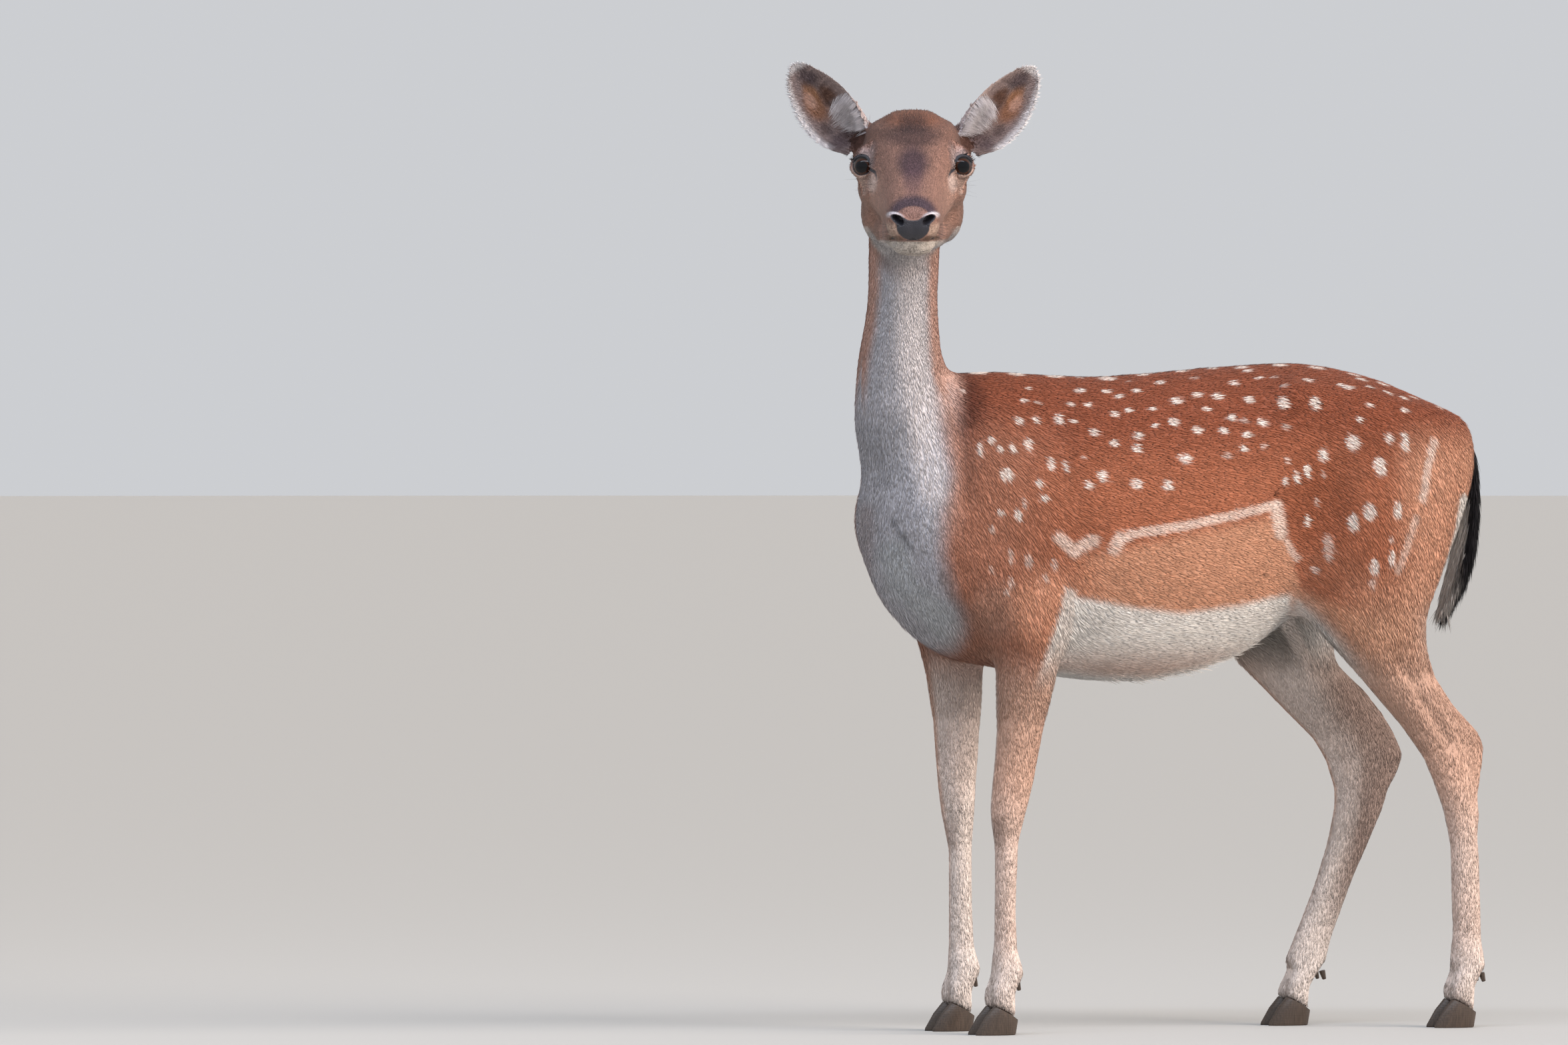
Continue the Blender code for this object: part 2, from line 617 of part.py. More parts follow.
def joint_cuts():
    """Slabs at the throat, at the neck's root and across each leg."""
    cuts = [
        slab(HEAD @ Vector((-0.085, 0, -0.045)), HEAD_AXES @ Vector((0.80, 0, 0.60)), 0.115, 0.10),
        slab(Vector((-0.112, 0, 0.755)), Vector((-0.70, 0, 0.72)), 0.15, 0.12),
    ]
    for name in FEET:
        top, middle, low = HIND_CUTS if name.startswith("hind") else FORE_CUTS
        long, wide = (0.13, 0.069) if name.startswith("hind") else (0.07, 0.06)
        cuts.append(slab(leg_middle(name, top), UP, long, wide))
        cuts.append(slab(leg_middle(name, middle), UP, 0.05, 0.04))
        cuts.append(slab(leg_middle(name, low), UP, 0.05, 0.04))
    return cuts


def carve(made, cutters):
    """Takes the joined cutters away from an object."""
    tool = joined("cutter", cutters)
    cut = made.modifiers.new("cut", "BOOLEAN")
    cut.operation, cut.object = "DIFFERENCE", tool
    applied(made)
    bpy.data.objects.remove(tool)


# ---------------------------------------------------------------- materials
LOOKS = {  # colour, roughness
    "rufous_coat": ((0.42, 0.17, 0.08), 0.85),
    "grey_coat": ((0.45, 0.33, 0.26), 0.85),
    "pale_coat": ((0.62, 0.46, 0.36), 0.85),
    "black_coat": ((0.03, 0.025, 0.03), 0.80),
    "hoof_horn": ((0.035, 0.03, 0.03), 0.45),
    "eye_globe": ((0.02, 0.012, 0.01), 0.08),
}


def material(name):
    colour, roughness = LOOKS[name]
    made = bpy.data.materials.new(name)
    made.use_nodes = True
    shader = made.node_tree.nodes["Principled BSDF"]
    shader.inputs["Base Color"].default_value = (*colour, 1)
    shader.inputs["Roughness"].default_value = roughness
    shader.inputs["Metallic"].default_value = 0
    return made


def look_of(node):
    """The material's name for a node."""
    looks = {"eye": "eye_globe", "tail": "black_coat", "head": "grey_coat", "ear": "grey_coat"}
    looks |= {"hoof": "hoof_horn", "dewclaw": "hoof_horn", "cannon": "pale_coat", "pastern": "pale_coat"}
    words = node.split("_")
    return looks.get(words[0], looks.get(words[-1], "rufous_coat"))


# ---------------------------------------------------------------- the model
def whole_flesh():
    """The body as one smooth closed surface."""
    shapes = [trunk(), neck(), *head(), *shoulders(), *haunches()]
    for name in FEET:
        shapes += leg(name)
    flesh = joined("flesh", shapes)
    remesh = flesh.modifiers.new("one_surface", "REMESH")
    remesh.mode, remesh.voxel_size = "VOXEL", VOXEL
    applied(flesh)
    relaxed(flesh.data, SMOOTHINGS, bulk)
    fewer_faces(flesh, ALL_KEEP)
    body = flesh.vertex_groups.new(name="body")
    body.add([v.index for v in flesh.data.vertices if v.co.z < NECK_TOP], 1, "REPLACE")
    fewer_faces(flesh, BODY_KEEPS, "body")
    return flesh


def set_in_pieces():
    """The pieces that the flesh makes room for, by name."""
    pieces = {"tail": tail()}
    for side, word in ((-1, "right"), (1, "left")):
        pieces[f"eye_{word}"] = eye(side)
        pieces[f"ear_{word}"] = ear(side)
    for name, (sole, side, rows) in FEET.items():
        for toe, place in ((-side, "inner"), (side, "outer")):
            pieces[f"hoof_{name}_{place}"] = hoof(sole, side * rows[-1][3] + toe * TOE_SPREAD, toe)
            pieces[f"dewclaw_{name}_{place}"] = dewclaw(name, toe)
    return pieces


def parted(flesh):
    """Separates the cut flesh into its pieces and names each by where it lies."""
    bpy.context.view_layer.objects.active = flesh
    flesh.select_set(True)
    bpy.ops.object.mode_set(mode="EDIT")
    bpy.ops.mesh.separate(type="LOOSE")
    bpy.ops.object.mode_set(mode="OBJECT")
    spots = {"head": HEAD @ Vector((0.01, 0, -0.02)), "neck": NECK_MIDDLE, "trunk": TRUNK_MIDDLE}
    for name in FEET:
        top, middle, low = HIND_CUTS if name.startswith("hind") else FORE_CUTS
        spots[f"{name}_upper"] = leg_middle(name, (top + middle) / 2)
        spots[f"{name}_cannon"] = leg_middle(name, (middle + low) / 2)
        spots[f"{name}_pastern"] = leg_middle(name, low * 0.6)
    for piece in [o for o in bpy.data.objects if o.name.startswith("flesh")]:
        corners = np.array([v.co for v in piece.data.vertices])
        middle = Vector((corners.min(axis=0) + corners.max(axis=0)) / 2)
        piece.name = min(spots, key=lambda spot: (spots[spot] - middle).length)


def settled(pieces):
    """Scales the model to its height and sets its box's bottom centre on the origin."""
    corners = np.array([v.co for piece in pieces for v in piece.data.vertices])
    middle = (corners.min(axis=0) + corners.max(axis=0)) / 2
    size = Matrix.Scale(WITHERS_HEIGHT / DRAWN_WITHERS, 4)
    move = size @ Matrix.Translation((-middle[0], -middle[1], 0))
    for piece in pieces:
        piece.data.transform(move)
        piece.data.shade_smooth()
        piece.data.set_sharp_from_angle(angle=SHARP_ANGLE)


def main():
    for old in list(bpy.data.objects):
        bpy.data.objects.remove(old)
    flesh = whole_flesh()
    pieces = set_in_pieces()
    carve(flesh, [grown(mesh) for name, mesh in pieces.items() if not name.startswith("hoof")])
    carve(flesh, [lid_opening(-1), lid_opening(1), *(below_hairline(name) for name in FEET)])
    carve(flesh, joint_cuts())
    parted(flesh)
    for name, mesh in pieces.items():
        object_of(name, mesh)
    looks = {name: material(name) for name in LOOKS}
    for piece in bpy.data.objects:
        piece.data.materials.clear()
        piece.data.materials.append(looks[look_of(piece.name)])
    settled(list(bpy.data.objects))


main()
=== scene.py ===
import json
import math

import bmesh
import bpy
import numpy as np
from mathutils import Matrix, Vector, kdtree

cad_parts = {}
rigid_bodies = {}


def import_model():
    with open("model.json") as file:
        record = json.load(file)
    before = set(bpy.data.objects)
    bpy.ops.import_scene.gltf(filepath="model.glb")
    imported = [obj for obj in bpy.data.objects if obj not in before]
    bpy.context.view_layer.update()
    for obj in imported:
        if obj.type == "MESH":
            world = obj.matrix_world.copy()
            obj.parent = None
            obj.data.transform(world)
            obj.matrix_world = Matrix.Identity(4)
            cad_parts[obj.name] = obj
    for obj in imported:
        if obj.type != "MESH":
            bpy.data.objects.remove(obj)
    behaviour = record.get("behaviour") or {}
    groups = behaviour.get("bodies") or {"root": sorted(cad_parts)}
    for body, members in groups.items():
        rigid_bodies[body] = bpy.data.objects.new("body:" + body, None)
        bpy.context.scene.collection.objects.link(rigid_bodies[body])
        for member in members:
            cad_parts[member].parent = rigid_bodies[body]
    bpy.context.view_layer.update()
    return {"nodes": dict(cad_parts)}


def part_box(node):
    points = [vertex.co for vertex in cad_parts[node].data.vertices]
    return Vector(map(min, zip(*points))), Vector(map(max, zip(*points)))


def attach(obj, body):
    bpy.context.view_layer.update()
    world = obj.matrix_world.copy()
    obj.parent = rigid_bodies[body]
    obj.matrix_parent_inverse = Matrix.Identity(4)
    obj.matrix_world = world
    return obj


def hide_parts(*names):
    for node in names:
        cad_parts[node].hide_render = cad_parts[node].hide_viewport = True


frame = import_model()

for name in ("Cube", "Camera", "Light"):  # Blender's startup objects
    if name in bpy.data.objects:
        bpy.data.objects.remove(bpy.data.objects[name])

# Places and sizes below are in the model's own metres, drawn for a doe 0.832 m high at the withers.
# bodyPlace and headPlace carry them into the frame. Along the body: x backwards, y to the right
# side, z up. On the head: ahead, out to the left, up, from halfway between the eyes.

sheet = {"eyeGap": 0.115, "eyeAhead": 0.005, "headDip": 1.0, "foreHoof": -0.0139}


def middleOf(node):
    low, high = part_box(node)
    return (low + high) / 2


eyeSpan = middleOf("eye_left") - middleOf("eye_right")
drawnMetre = eyeSpan.length / sheet["eyeGap"]
leftward = eyeSpan.normalized()
headTurn = Matrix((leftward.cross(Vector((0, 0, 1))), leftward, Vector((0, 0, 1)))).transposed().to_4x4()
headPlace = (
    Matrix.Translation((middleOf("eye_left") + middleOf("eye_right")) / 2)
    @ headTurn
    @ Matrix.Rotation(math.radians(sheet["headDip"]), 4, "Y")
    @ Matrix.Scale(drawnMetre, 4)
    @ Matrix.Translation((-sheet["eyeAhead"], 0, 0))
)
claws = [name for name in frame["nodes"] if name.startswith(("hoof", "dewclaw"))]
soles = [middleOf(name) for name in claws if name.startswith("hoof")]
midPlane = sum(place.y for place in soles) / len(soles)
foreHoof = middleOf("hoof_fore_left_inner").x - sheet["foreHoof"] * drawnMetre
bodyPlace = Matrix.Translation((foreHoof, midPlane, 0)) @ Matrix.Scale(drawnMetre, 4)


# small tools
def linear(hexColour):  # sRGB hex to linear light
    parts = np.array([int(hexColour[i : i + 2], 16) for i in (1, 3, 5)]) / 255
    return np.where(parts <= 0.04045, parts / 12.92, ((parts + 0.055) / 1.055) ** 2.4)


def rise(low, high, value):  # 0 before low, 1 past high, smooth between
    share = np.clip((value - low) / (high - low), 0, 1)
    return share * share * (3 - 2 * share)


def painted(base, hexColour, share):
    return base + (linear(hexColour) - base) * np.asarray(share)[:, None]


def seenFrom(place, points):
    turn = np.array(place.inverted())
    return points @ turn[:3, :3].T + turn[:3, 3]


def turned(place, directions):  # directions from a place's axes to the frame's
    axes = np.array(place.to_3x3().normalized())
    return directions @ axes.T


def unit(vectors):
    return vectors / np.maximum(np.linalg.norm(vectors, axis=-1, keepdims=True), 1e-9)


def read(data, name, width):
    values = np.empty(len(data) * width, np.float32)
    data.foreach_get(name, values)
    return values.reshape(-1, width).astype(float) if width > 1 else values.astype(float)


def write(mesh, name, kind, values, domain="POINT"):
    layer = mesh.attributes.get(name) or mesh.attributes.new(name, kind, domain)
    field = {"FLOAT": "value", "FLOAT_VECTOR": "vector", "FLOAT_COLOR": "color", "FLOAT2": "vector"}[kind]
    layer.data.foreach_set(field, np.asarray(values, np.float32).ravel())


def pointsOf(mesh):
    return read(mesh.vertices, "co", 3)


def movePoints(mesh, places):
    mesh.vertices.foreach_set("co", places.astype(np.float32).ravel())
    mesh.update()


def normalsOf(mesh):
    return read(mesh.vertex_normals, "vector", 3)


def distanceTo(path, points):  # to a bent line, with the share of the way along it
    best = np.full(len(points), 1e9)
    along = np.zeros(len(points))
    path = np.array(path, float)
    for i, (start, end) in enumerate(zip(path[:-1], path[1:])):
        way = end - start
        share = np.clip(((points - start) @ way) / (way @ way), 0, 1)
        gap = np.linalg.norm(points - start - share[:, None] * way, axis=1)
        nearer = gap < best
        best = np.where(nearer, gap, best)
        along = np.where(nearer, (i + share) / (len(path) - 1), along)
    return best, along


def blob(points, centre, radius):  # 1 at the centre, 0 a radius away
    gap = np.linalg.norm((points - np.array(centre)) / np.array(radius), axis=1)
    return rise(1.0, 0.35, gap)


def newPiece(name, mesh):
    piece = bpy.data.objects.new(name, mesh)
    bpy.context.scene.collection.objects.link(piece)
    return piece


def settled(piece):  # the piece's modifiers become its mesh
    seen = piece.evaluated_get(bpy.context.evaluated_depsgraph_get())
    mesh = bpy.data.meshes.new_from_object(seen)
    piece.modifiers.clear()
    piece.data = mesh
    return piece


def addNode(tree, kind, settings=None, inputs=None):
    node = tree.nodes.new(kind)
    for name, value in (settings or {}).items():
        setattr(node, name, value)
    for name, value in (inputs or {}).items():
        if isinstance(value, bpy.types.NodeSocket):
            tree.links.new(value, node.inputs[name])
        else:
            node.inputs[name].default_value = value
    return node


# the skin: the flesh's pieces made one surface, inside them by the coat's depth
skin = {
    "overlap": 0.0004,  # the pieces grow by this to close their gaps
    "bodyVoxel": 0.004,
    "bodyRounds": 90,
    "voxel": 0.0016,
    "rounds": 12,
    "bodyKeep": 0.16,  # shares of the faces that the two thinnings leave
    "allKeep": 0.62,
    "throatCut": ((-0.085, 0, -0.045), (0.80, 0, 0.60)),  # the plane between head and neck
    "sink": 0.003,  # the coarse head hides under the fine one by this
}


def joinedCopies(name, nodes, overlap):
    joined = bmesh.new()
    for node in nodes:
        one = bmesh.new()
        one.from_mesh(frame["nodes"][node].data)
        bmesh.ops.remove_doubles(one, verts=one.verts, dist=1e-5)
        one.normal_update()
        for point in one.verts:
            point.co += point.normal * overlap
        mesh = bpy.data.meshes.new(node)
        one.to_mesh(mesh)
        one.free()
        joined.from_mesh(mesh)
        bpy.data.meshes.remove(mesh)
    mesh = bpy.data.meshes.new(name)
    joined.to_mesh(mesh)
    joined.free()
    return newPiece(name, mesh)


def voxelled(piece, size):
    remesh = piece.modifiers.new("oneSurface", "REMESH")
    remesh.mode, remesh.voxel_size = "VOXEL", size
    return settled(piece)


def thinned(piece, share, group=""):
    thin = piece.modifiers.new("thin", "DECIMATE")
    thin.ratio, thin.vertex_group = share, group
    return settled(piece)


def smoothed(mesh, rounds, share, pull=0.6, push=-0.62):
    places = pointsOf(mesh)
    ends = np.empty(len(mesh.edges) * 2, np.int32)
    mesh.edges.foreach_get("vertices", ends)
    first, second = ends.reshape(-1, 2).T
    count = np.bincount(ends, minlength=len(places))[:, None]
    share = np.asarray(share)[:, None] if np.ndim(share) else share
    for step in [pull, push] * rounds:
        total = np.empty_like(places)
        for axis in range(3):
            total[:, axis] = np.bincount(first, places[second, axis], len(places))
            total[:, axis] += np.bincount(second, places[first, axis], len(places))
        places += step * share * (total / count - places)
    movePoints(mesh, places)


def pastThroat(points):  # metres ahead of the plane between neck and head
    spot, way = skin["throatCut"]
    return (seenFrom(headPlace, points) - np.array(spot)) @ np.array(way)


def bodyForm():
    flesh = ["head", "neck", "trunk"] + [n for n in frame["nodes"] if n.startswith(("fore", "hind"))]
    form = voxelled(joinedCopies("bodyForm", flesh, skin["overlap"]), skin["bodyVoxel"])
    height = seenFrom(bodyPlace, pointsOf(form.data))[:, 2]
    thick = 0.12 + 0.88 * rise(0.40, 0.52, height)  # the legs keep their edges
    smoothed(form.data, skin["bodyRounds"], thick, 0.5, -0.25)
    places = pointsOf(form.data)
    hidden = rise(0.002, 0.010, pastThroat(places))
    movePoints(form.data, places - normalsOf(form.data) * (skin["sink"] * hidden)[:, None])
    return form


def wholeSkin():
    form = bodyForm()
    fine = joinedCopies(
        "skin", ["head", "ear_left", "ear_right", "eye_left", "eye_right", "tail"], skin["overlap"]
    )
    joined = bmesh.new()
    joined.from_mesh(form.data)
    joined.from_mesh(fine.data)
    joined.to_mesh(fine.data)
    joined.free()
    bpy.data.objects.remove(form)
    piece = voxelled(fine, skin["voxel"])
    smoothed(piece.data, skin["rounds"], 1.0)
    print("skin surface", len(piece.data.vertices), "points")
    body = piece.vertex_groups.new(name="body")
    places = pointsOf(piece.data)
    ears = np.abs(seenFrom(headPlace, places)[:, 1]) > 0.07
    low = np.flatnonzero(
        (pastThroat(places) < -0.02) & ~(ears & (seenFrom(bodyPlace, places)[:, 2] > 0.98))
    )
    body.add(low.tolist(), 1, "REPLACE")
    thinned(piece, skin["bodyKeep"], "body")
    thinned(piece, skin["allKeep"])
    piece.vertex_groups.clear()
    return piece


# where each part of the coat is, and how its hair grows
def partsOf(points):  # the name of the nearest node's part, for each point
    names, places = [], []
    for node in frame["nodes"]:
        if node not in claws and not node.startswith("eye"):
            for point in frame["nodes"][node].data.vertices:
                places.append(point.co)
                names.append(node)
    tree = kdtree.KDTree(len(places))
    for i, place in enumerate(places):
        tree.insert(place, i)
    tree.balance()
    return np.array([names[tree.find(point)[1]] for point in points])


earForms = {}


def earForm(node, corners=None):  # root, way to the tip, open side, way to the head, length, edges
    if node not in earForms or corners is not None:
        if corners is None:
            corners = np.array([v.co for v in frame["nodes"][node].data.vertices])
        reach = np.linalg.norm(corners - np.array(headPlace.translation), axis=1)
        tip = corners[reach.argmax()]
        far = np.linalg.norm(corners - tip, axis=1)
        root = corners[far > far.max() - 0.006].mean(axis=0)
        along = unit(tip - root)
        face = turned(headPlace, np.array([1.0, 0, 0]))
        face = unit(face - along * (face @ along))
        inward = np.cross(along, face)
        inward *= np.sign(inward @ (np.array(headPlace.translation) - root))
        length = np.linalg.norm(tip - root)
        steps = np.linspace(0.04, 0.96, 24)
        share, across = (corners - root) @ along / length, (corners - root) @ inward
        edges = [across[np.abs(share - step) < 0.03] for step in steps]
        low = np.array([part.min() if len(part) else 0 for part in edges])
        high = np.array([part.max() if len(part) else 0 for part in edges])
        earForms[node] = (root, along, face, inward, length, steps, low, high)
    return earForms[node]


def earPlace(points, node):  # share of the way to the tip, and across from outer to inner edge
    root, along, _, inward, length, steps, low, high = earForm(node)
    share = (points - root) @ along / length
    low, high = np.interp(share, steps, low), np.interp(share, steps, high)
    return share, ((points - root) @ inward - low) / np.maximum(high - low, 0.004)


def backHeight(x):  # the back line
    return np.interp(
        x, [-0.10, 0.0, 0.10, 0.25, 0.40, 0.50, 0.58, 0.64],
        [0.80, 0.83, 0.826, 0.826, 0.836, 0.825, 0.79, 0.74]
    )


def chartOf(body):  # across and up, each side as seen from where the doe looks
    return np.stack(
        [0.927 * body[:, 0] + 0.375 * np.abs(body[:, 1]), np.zeros(len(body)), body[:, 2]], axis=1
    )


def bellyEdge(across):  # where the white belly begins
    return np.interp(
        across, [0.05, 0.11, 0.14, 0.19, 0.25, 0.32, 0.36, 0.41],
        [0.545, 0.551, 0.546, 0.536, 0.529, 0.538, 0.547, 0.555]
    )


lieBody = [  # where, and which way the hair lies there
    ((0.00, 0.00, 0.83), (1.0, 0.0, 0.0)), ((0.25, 0.00, 0.83), (1.0, 0.0, 0.0)),
    ((0.50, 0.00, 0.82), (1.0, 0.0, -0.2)), ((0.62, 0.00, 0.75), (0.6, 0.0, -0.8)),
    ((0.65, 0.02, 0.64), (0.1, 0.0, -1.0)), ((0.60, 0.04, 0.50), (0.0, 0.0, -1.0)),
    ((0.02, 0.09, 0.74), (0.9, 0.1, -0.45)), ((0.15, 0.11, 0.72), (1.0, 0.1, -0.20)),
    ((0.30, 0.12, 0.70), (1.0, 0.0, -0.18)), ((0.45, 0.11, 0.72), (0.9, 0.0, -0.45)),
    ((0.55, 0.10, 0.66), (0.45, 0.0, -0.9)), ((0.50, 0.11, 0.55), (0.35, 0.0, -0.95)),
    ((0.00, 0.11, 0.62), (0.6, 0.0, -0.8)), ((-0.06, 0.09, 0.68), (0.35, 0.1, -0.9)),
    ((0.03, 0.10, 0.52), (0.35, 0.0, -0.95)), ((0.15, 0.12, 0.60), (1.0, 0.0, -0.25)),
    ((0.30, 0.12, 0.60), (1.0, 0.0, -0.15)), ((0.15, 0.05, 0.47), (1.0, 0.0, 0.0)),
    ((0.30, 0.05, 0.48), (1.0, 0.0, 0.0)), ((0.38, 0.09, 0.54), (0.9, 0.0, -0.4)),
    ((-0.12, 0.00, 0.62), (0.2, 0.0, -1.0)), ((-0.14, 0.04, 0.72), (0.1, 0.1, -1.0)),
    ((-0.15, 0.00, 0.80), (0.0, 0.0, -1.0)), ((-0.14, 0.05, 0.90), (0.0, 0.0, -1.0)),
    ((-0.05, 0.04, 0.90), (0.2, 0.0, -1.0)), ((-0.06, 0.04, 0.82), (0.5, 0.0, -0.85)),
    ((-0.10, 0.04, 1.00), (0.0, 0.0, -1.0)), ((0.02, 0.07, 0.35), (0.05, 0.0, -1.0)),
    ((0.00, 0.07, 0.15), (0.0, 0.0, -1.0)), ((0.55, 0.07, 0.38), (0.2, 0.0, -1.0)),
    ((0.40, 0.07, 0.40), (0.3, 0.0, -1.0)), ((0.60, 0.07, 0.25), (-0.1, 0.0, -1.0)),
    ((0.45, 0.07, 0.20), (-0.2, 0.0, -1.0)),
]
lieHead = [
    ((0.150, 0.00, -0.050), (-0.8, 0.0, 0.5)), ((0.100, 0.00, -0.010), (-0.8, 0.0, 0.55)),
    ((0.050, 0.00, 0.030), (-0.8, 0.0, 0.5)), ((0.000, 0.00, 0.060), (-1.0, 0.0, 0.1)),
    ((-0.060, 0.00, 0.060), (-1.0, 0.0, -0.4)), ((0.130, 0.03, -0.065), (-0.9, 0.3, 0.1)),
    ((0.080, 0.035, -0.050), (-1.0, 0.1, 0.1)), ((0.040, 0.050, -0.030), (-1.0, 0.2, -0.1)),
    ((0.020, 0.050, 0.030), (-0.9, 0.3, 0.4)), ((-0.020, 0.060, 0.030), (-1.0, 0.3, 0.3)),
    ((-0.030, 0.065, -0.020), (-1.0, 0.1, -0.3)), ((-0.060, 0.055, -0.050), (-0.8, 0.0, -0.7)),
    ((0.030, 0.045, -0.080), (-1.0, 0.0, -0.3)), ((0.120, 0.02, -0.100), (-1.0, 0.1, -0.1)),
    ((0.050, 0.00, -0.110), (-1.0, 0.0, -0.1)), ((-0.040, 0.00, -0.110), (-0.7, 0.0, -0.7)),
    ((-0.080, 0.05, 0.00), (-0.7, 0.1, -0.7)),
]


def steered(points, guides, reach):  # the guides' directions, blended by nearness
    total = np.zeros_like(points)
    weight = np.zeros(len(points))
    for spot, way in guides:
        for side in (-1, 1):
            mirror = np.array([1, side, 1])
            near = np.exp(-((np.linalg.norm(points - np.array(spot) * mirror, axis=1) / reach) ** 2)) + 1e-9
            total += near[:, None] * unit(np.array(way) * mirror)
            weight += near
    return total / weight[:, None], weight


def hairLie(points, normals, parts):
    body = seenFrom(bodyPlace, points)
    head = seenFrom(headPlace, points)
    lie, _ = steered(body, lieBody, 0.075)
    headLie, _ = steered(head, lieHead, 0.028)
    onHead = rise(-0.03, 0.01, pastThroat(points))[:, None]
    lie = lie * (1 - onHead) + turned(headPlace, headLie) * onHead
    tail = parts == "tail"
    lie[tail] = np.array([-0.15, 0, -1.0])
    for node in ("ear_left", "ear_right"):
        here = parts == node
        _, along, face, inward = earForm(node)[:4]
        share, across = earPlace(points[here], node)
        outward = rise(0.55, 0.0, across) - 0.8 * rise(0.45, 1.0, share) * rise(0.6, 1.0, across)
        brush = rise(0.5, 0.8, across) * rise(0.60, 0.45, share) * (normals[here] @ face > 0.1)
        lie[here] = along * (0.9 - 0.6 * brush)[:, None] - inward * (outward + brush)[:, None]
    lie -= normals * np.sum(lie * normals, axis=1)[:, None]
    lie[tail] = unit(lie[tail]) + (-0.1, 0, -1.0)
    return unit(lie)


hairSizes = {  # metres, and tufts for each square metre
    "length": 0.0105,
    "bellyLonger": 0.005,
    "neckShorter": 0.0025,
    "legLength": 0.0070,
    "thighLonger": 0.003,
    "headLength": 0.0037,
    "crownLonger": 0.0045,
    "muzzleShorter": 0.0010,
    "rimLonger": 0.0026,
    "width": 0.00115,
    "neckFiner": 0.0002,
    "legFiner": 0.0001,
    "headFiner": 0.00037,
    "growth": 196e3,
    "neckMore": 200e3,
    "legMore": 90e3,
    "headMore": 520e3,
    "depthShare": 0.18,  # the coat's depth, as a share of its length
    "ear": (0.0045, 0.0008, 0.0012, 600e3),  # length, width, depth, growth
    "tail": (0.028, 0.0018, 0.0030, 260e3),
}


def hairField(points, parts):  # length, width, depth of coat, tufts for each square metre
    body = seenFrom(bodyPlace, points)
    chart = chartOf(body)
    head = seenFrom(headPlace, points)
    onHead = rise(-0.03, 0.01, pastThroat(points))
    onNeck = rise(0.80, 0.86, body[:, 2]) * rise(0.05, 0.0, body[:, 0]) * (1 - onHead)
    leg = rise(0.52, 0.42, body[:, 2]) * (np.isin(parts, ["neck", "head", "tail"], invert=True))
    belly = rise(0.0, 0.03, bellyEdge(chart[:, 0]) - body[:, 2]) * (1 - leg)
    size = hairSizes
    length = size["length"] + size["bellyLonger"] * belly - size["neckShorter"] * onNeck
    length += (size["legLength"] - length) * leg + size["thighLonger"] * leg * rise(0.30, 0.45, body[:, 2])
    length += (size["headLength"] - length) * onHead
    length += size["crownLonger"] * blob(head, (-0.03, 0, 0.06), (0.06, 0.06, 0.035))
    length -= size["muzzleShorter"] * rise(0.06, 0.13, head[:, 0]) * onHead
    width = size["width"] - size["neckFiner"] * onNeck
    width = width - size["legFiner"] * leg * (1 - onHead) - size["headFiner"] * onHead
    growth = size["growth"] + size["neckMore"] * onNeck + size["legMore"] * leg + size["headMore"] * onHead
    depth = length * size["depthShare"]
    ear = np.char.startswith(parts, "ear")
    length[ear], width[ear], depth[ear], growth[ear] = size["ear"]
    for node in ("ear_left", "ear_right"):
        here = parts == node
        share, across = earPlace(points[here], node)
        rim = np.maximum(rise(0.22, 0.06, across), 0.6 * rise(0.90, 0.97, share))
        length[here] += size["rimLonger"] * rim - 0.0012 * rise(0.75, 0.90, across)
    tail = parts == "tail"
    length[tail], width[tail], depth[tail], growth[tail] = size["tail"]
    return length, width, depth, growth


# the head's features
eyeShape = {
    "radius": 0.0165,
    "outward": (0.83, 0.55, 0.03),
    "gaze": (0.92, 0.39, 0.0),
    "lidTilt": 14.0,  # degrees that the inner corner dips
    "corner": 0.80,  # the lids' corners, as a share of the radius from the opening's middle
    "upper": 0.73,
    "lower": 0.62,
    "lid": 0.0013,  # how far the lids stand over the globe
}


def eyeAxes(side):  # centre, outward, forward and up of an eye, on the head
    out = unit(np.array(eyeShape["outward"]) * (1, side, 1))
    ahead = unit(np.cross(np.cross(out, (1, 0, -0.02)), out))
    up = np.cross(ahead, out) * side
    tilt = math.radians(eyeShape["lidTilt"])
    forward = ahead * math.cos(tilt) - up * math.sin(tilt)
    upward = up * math.cos(tilt) + ahead * math.sin(tilt)
    return np.array((sheet["eyeAhead"], side * sheet["eyeGap"] / 2, 0)), out, forward, upward


# metres inside the lids' opening, height over the middle, place along it, distance from the centre
def lidField(points, side):
    centre, out, forward, upward = eyeAxes(side)
    way = points - centre
    reach = np.linalg.norm(way, axis=1)
    along, up, front = way @ forward / reach, way @ upward / reach, way @ out / reach
    arch = np.clip(1 - np.abs(along / eyeShape["corner"]) ** 2.2, 0, 1) ** 0.75
    inside = np.minimum(eyeShape["upper"] * arch - up, up + eyeShape["lower"] * arch)
    inside = np.minimum(inside, 1.1 * (eyeShape["corner"] - np.abs(along)))
    inside = np.where(front > 0, inside, -1.0) * eyeShape["radius"]
    return inside, up, along, reach


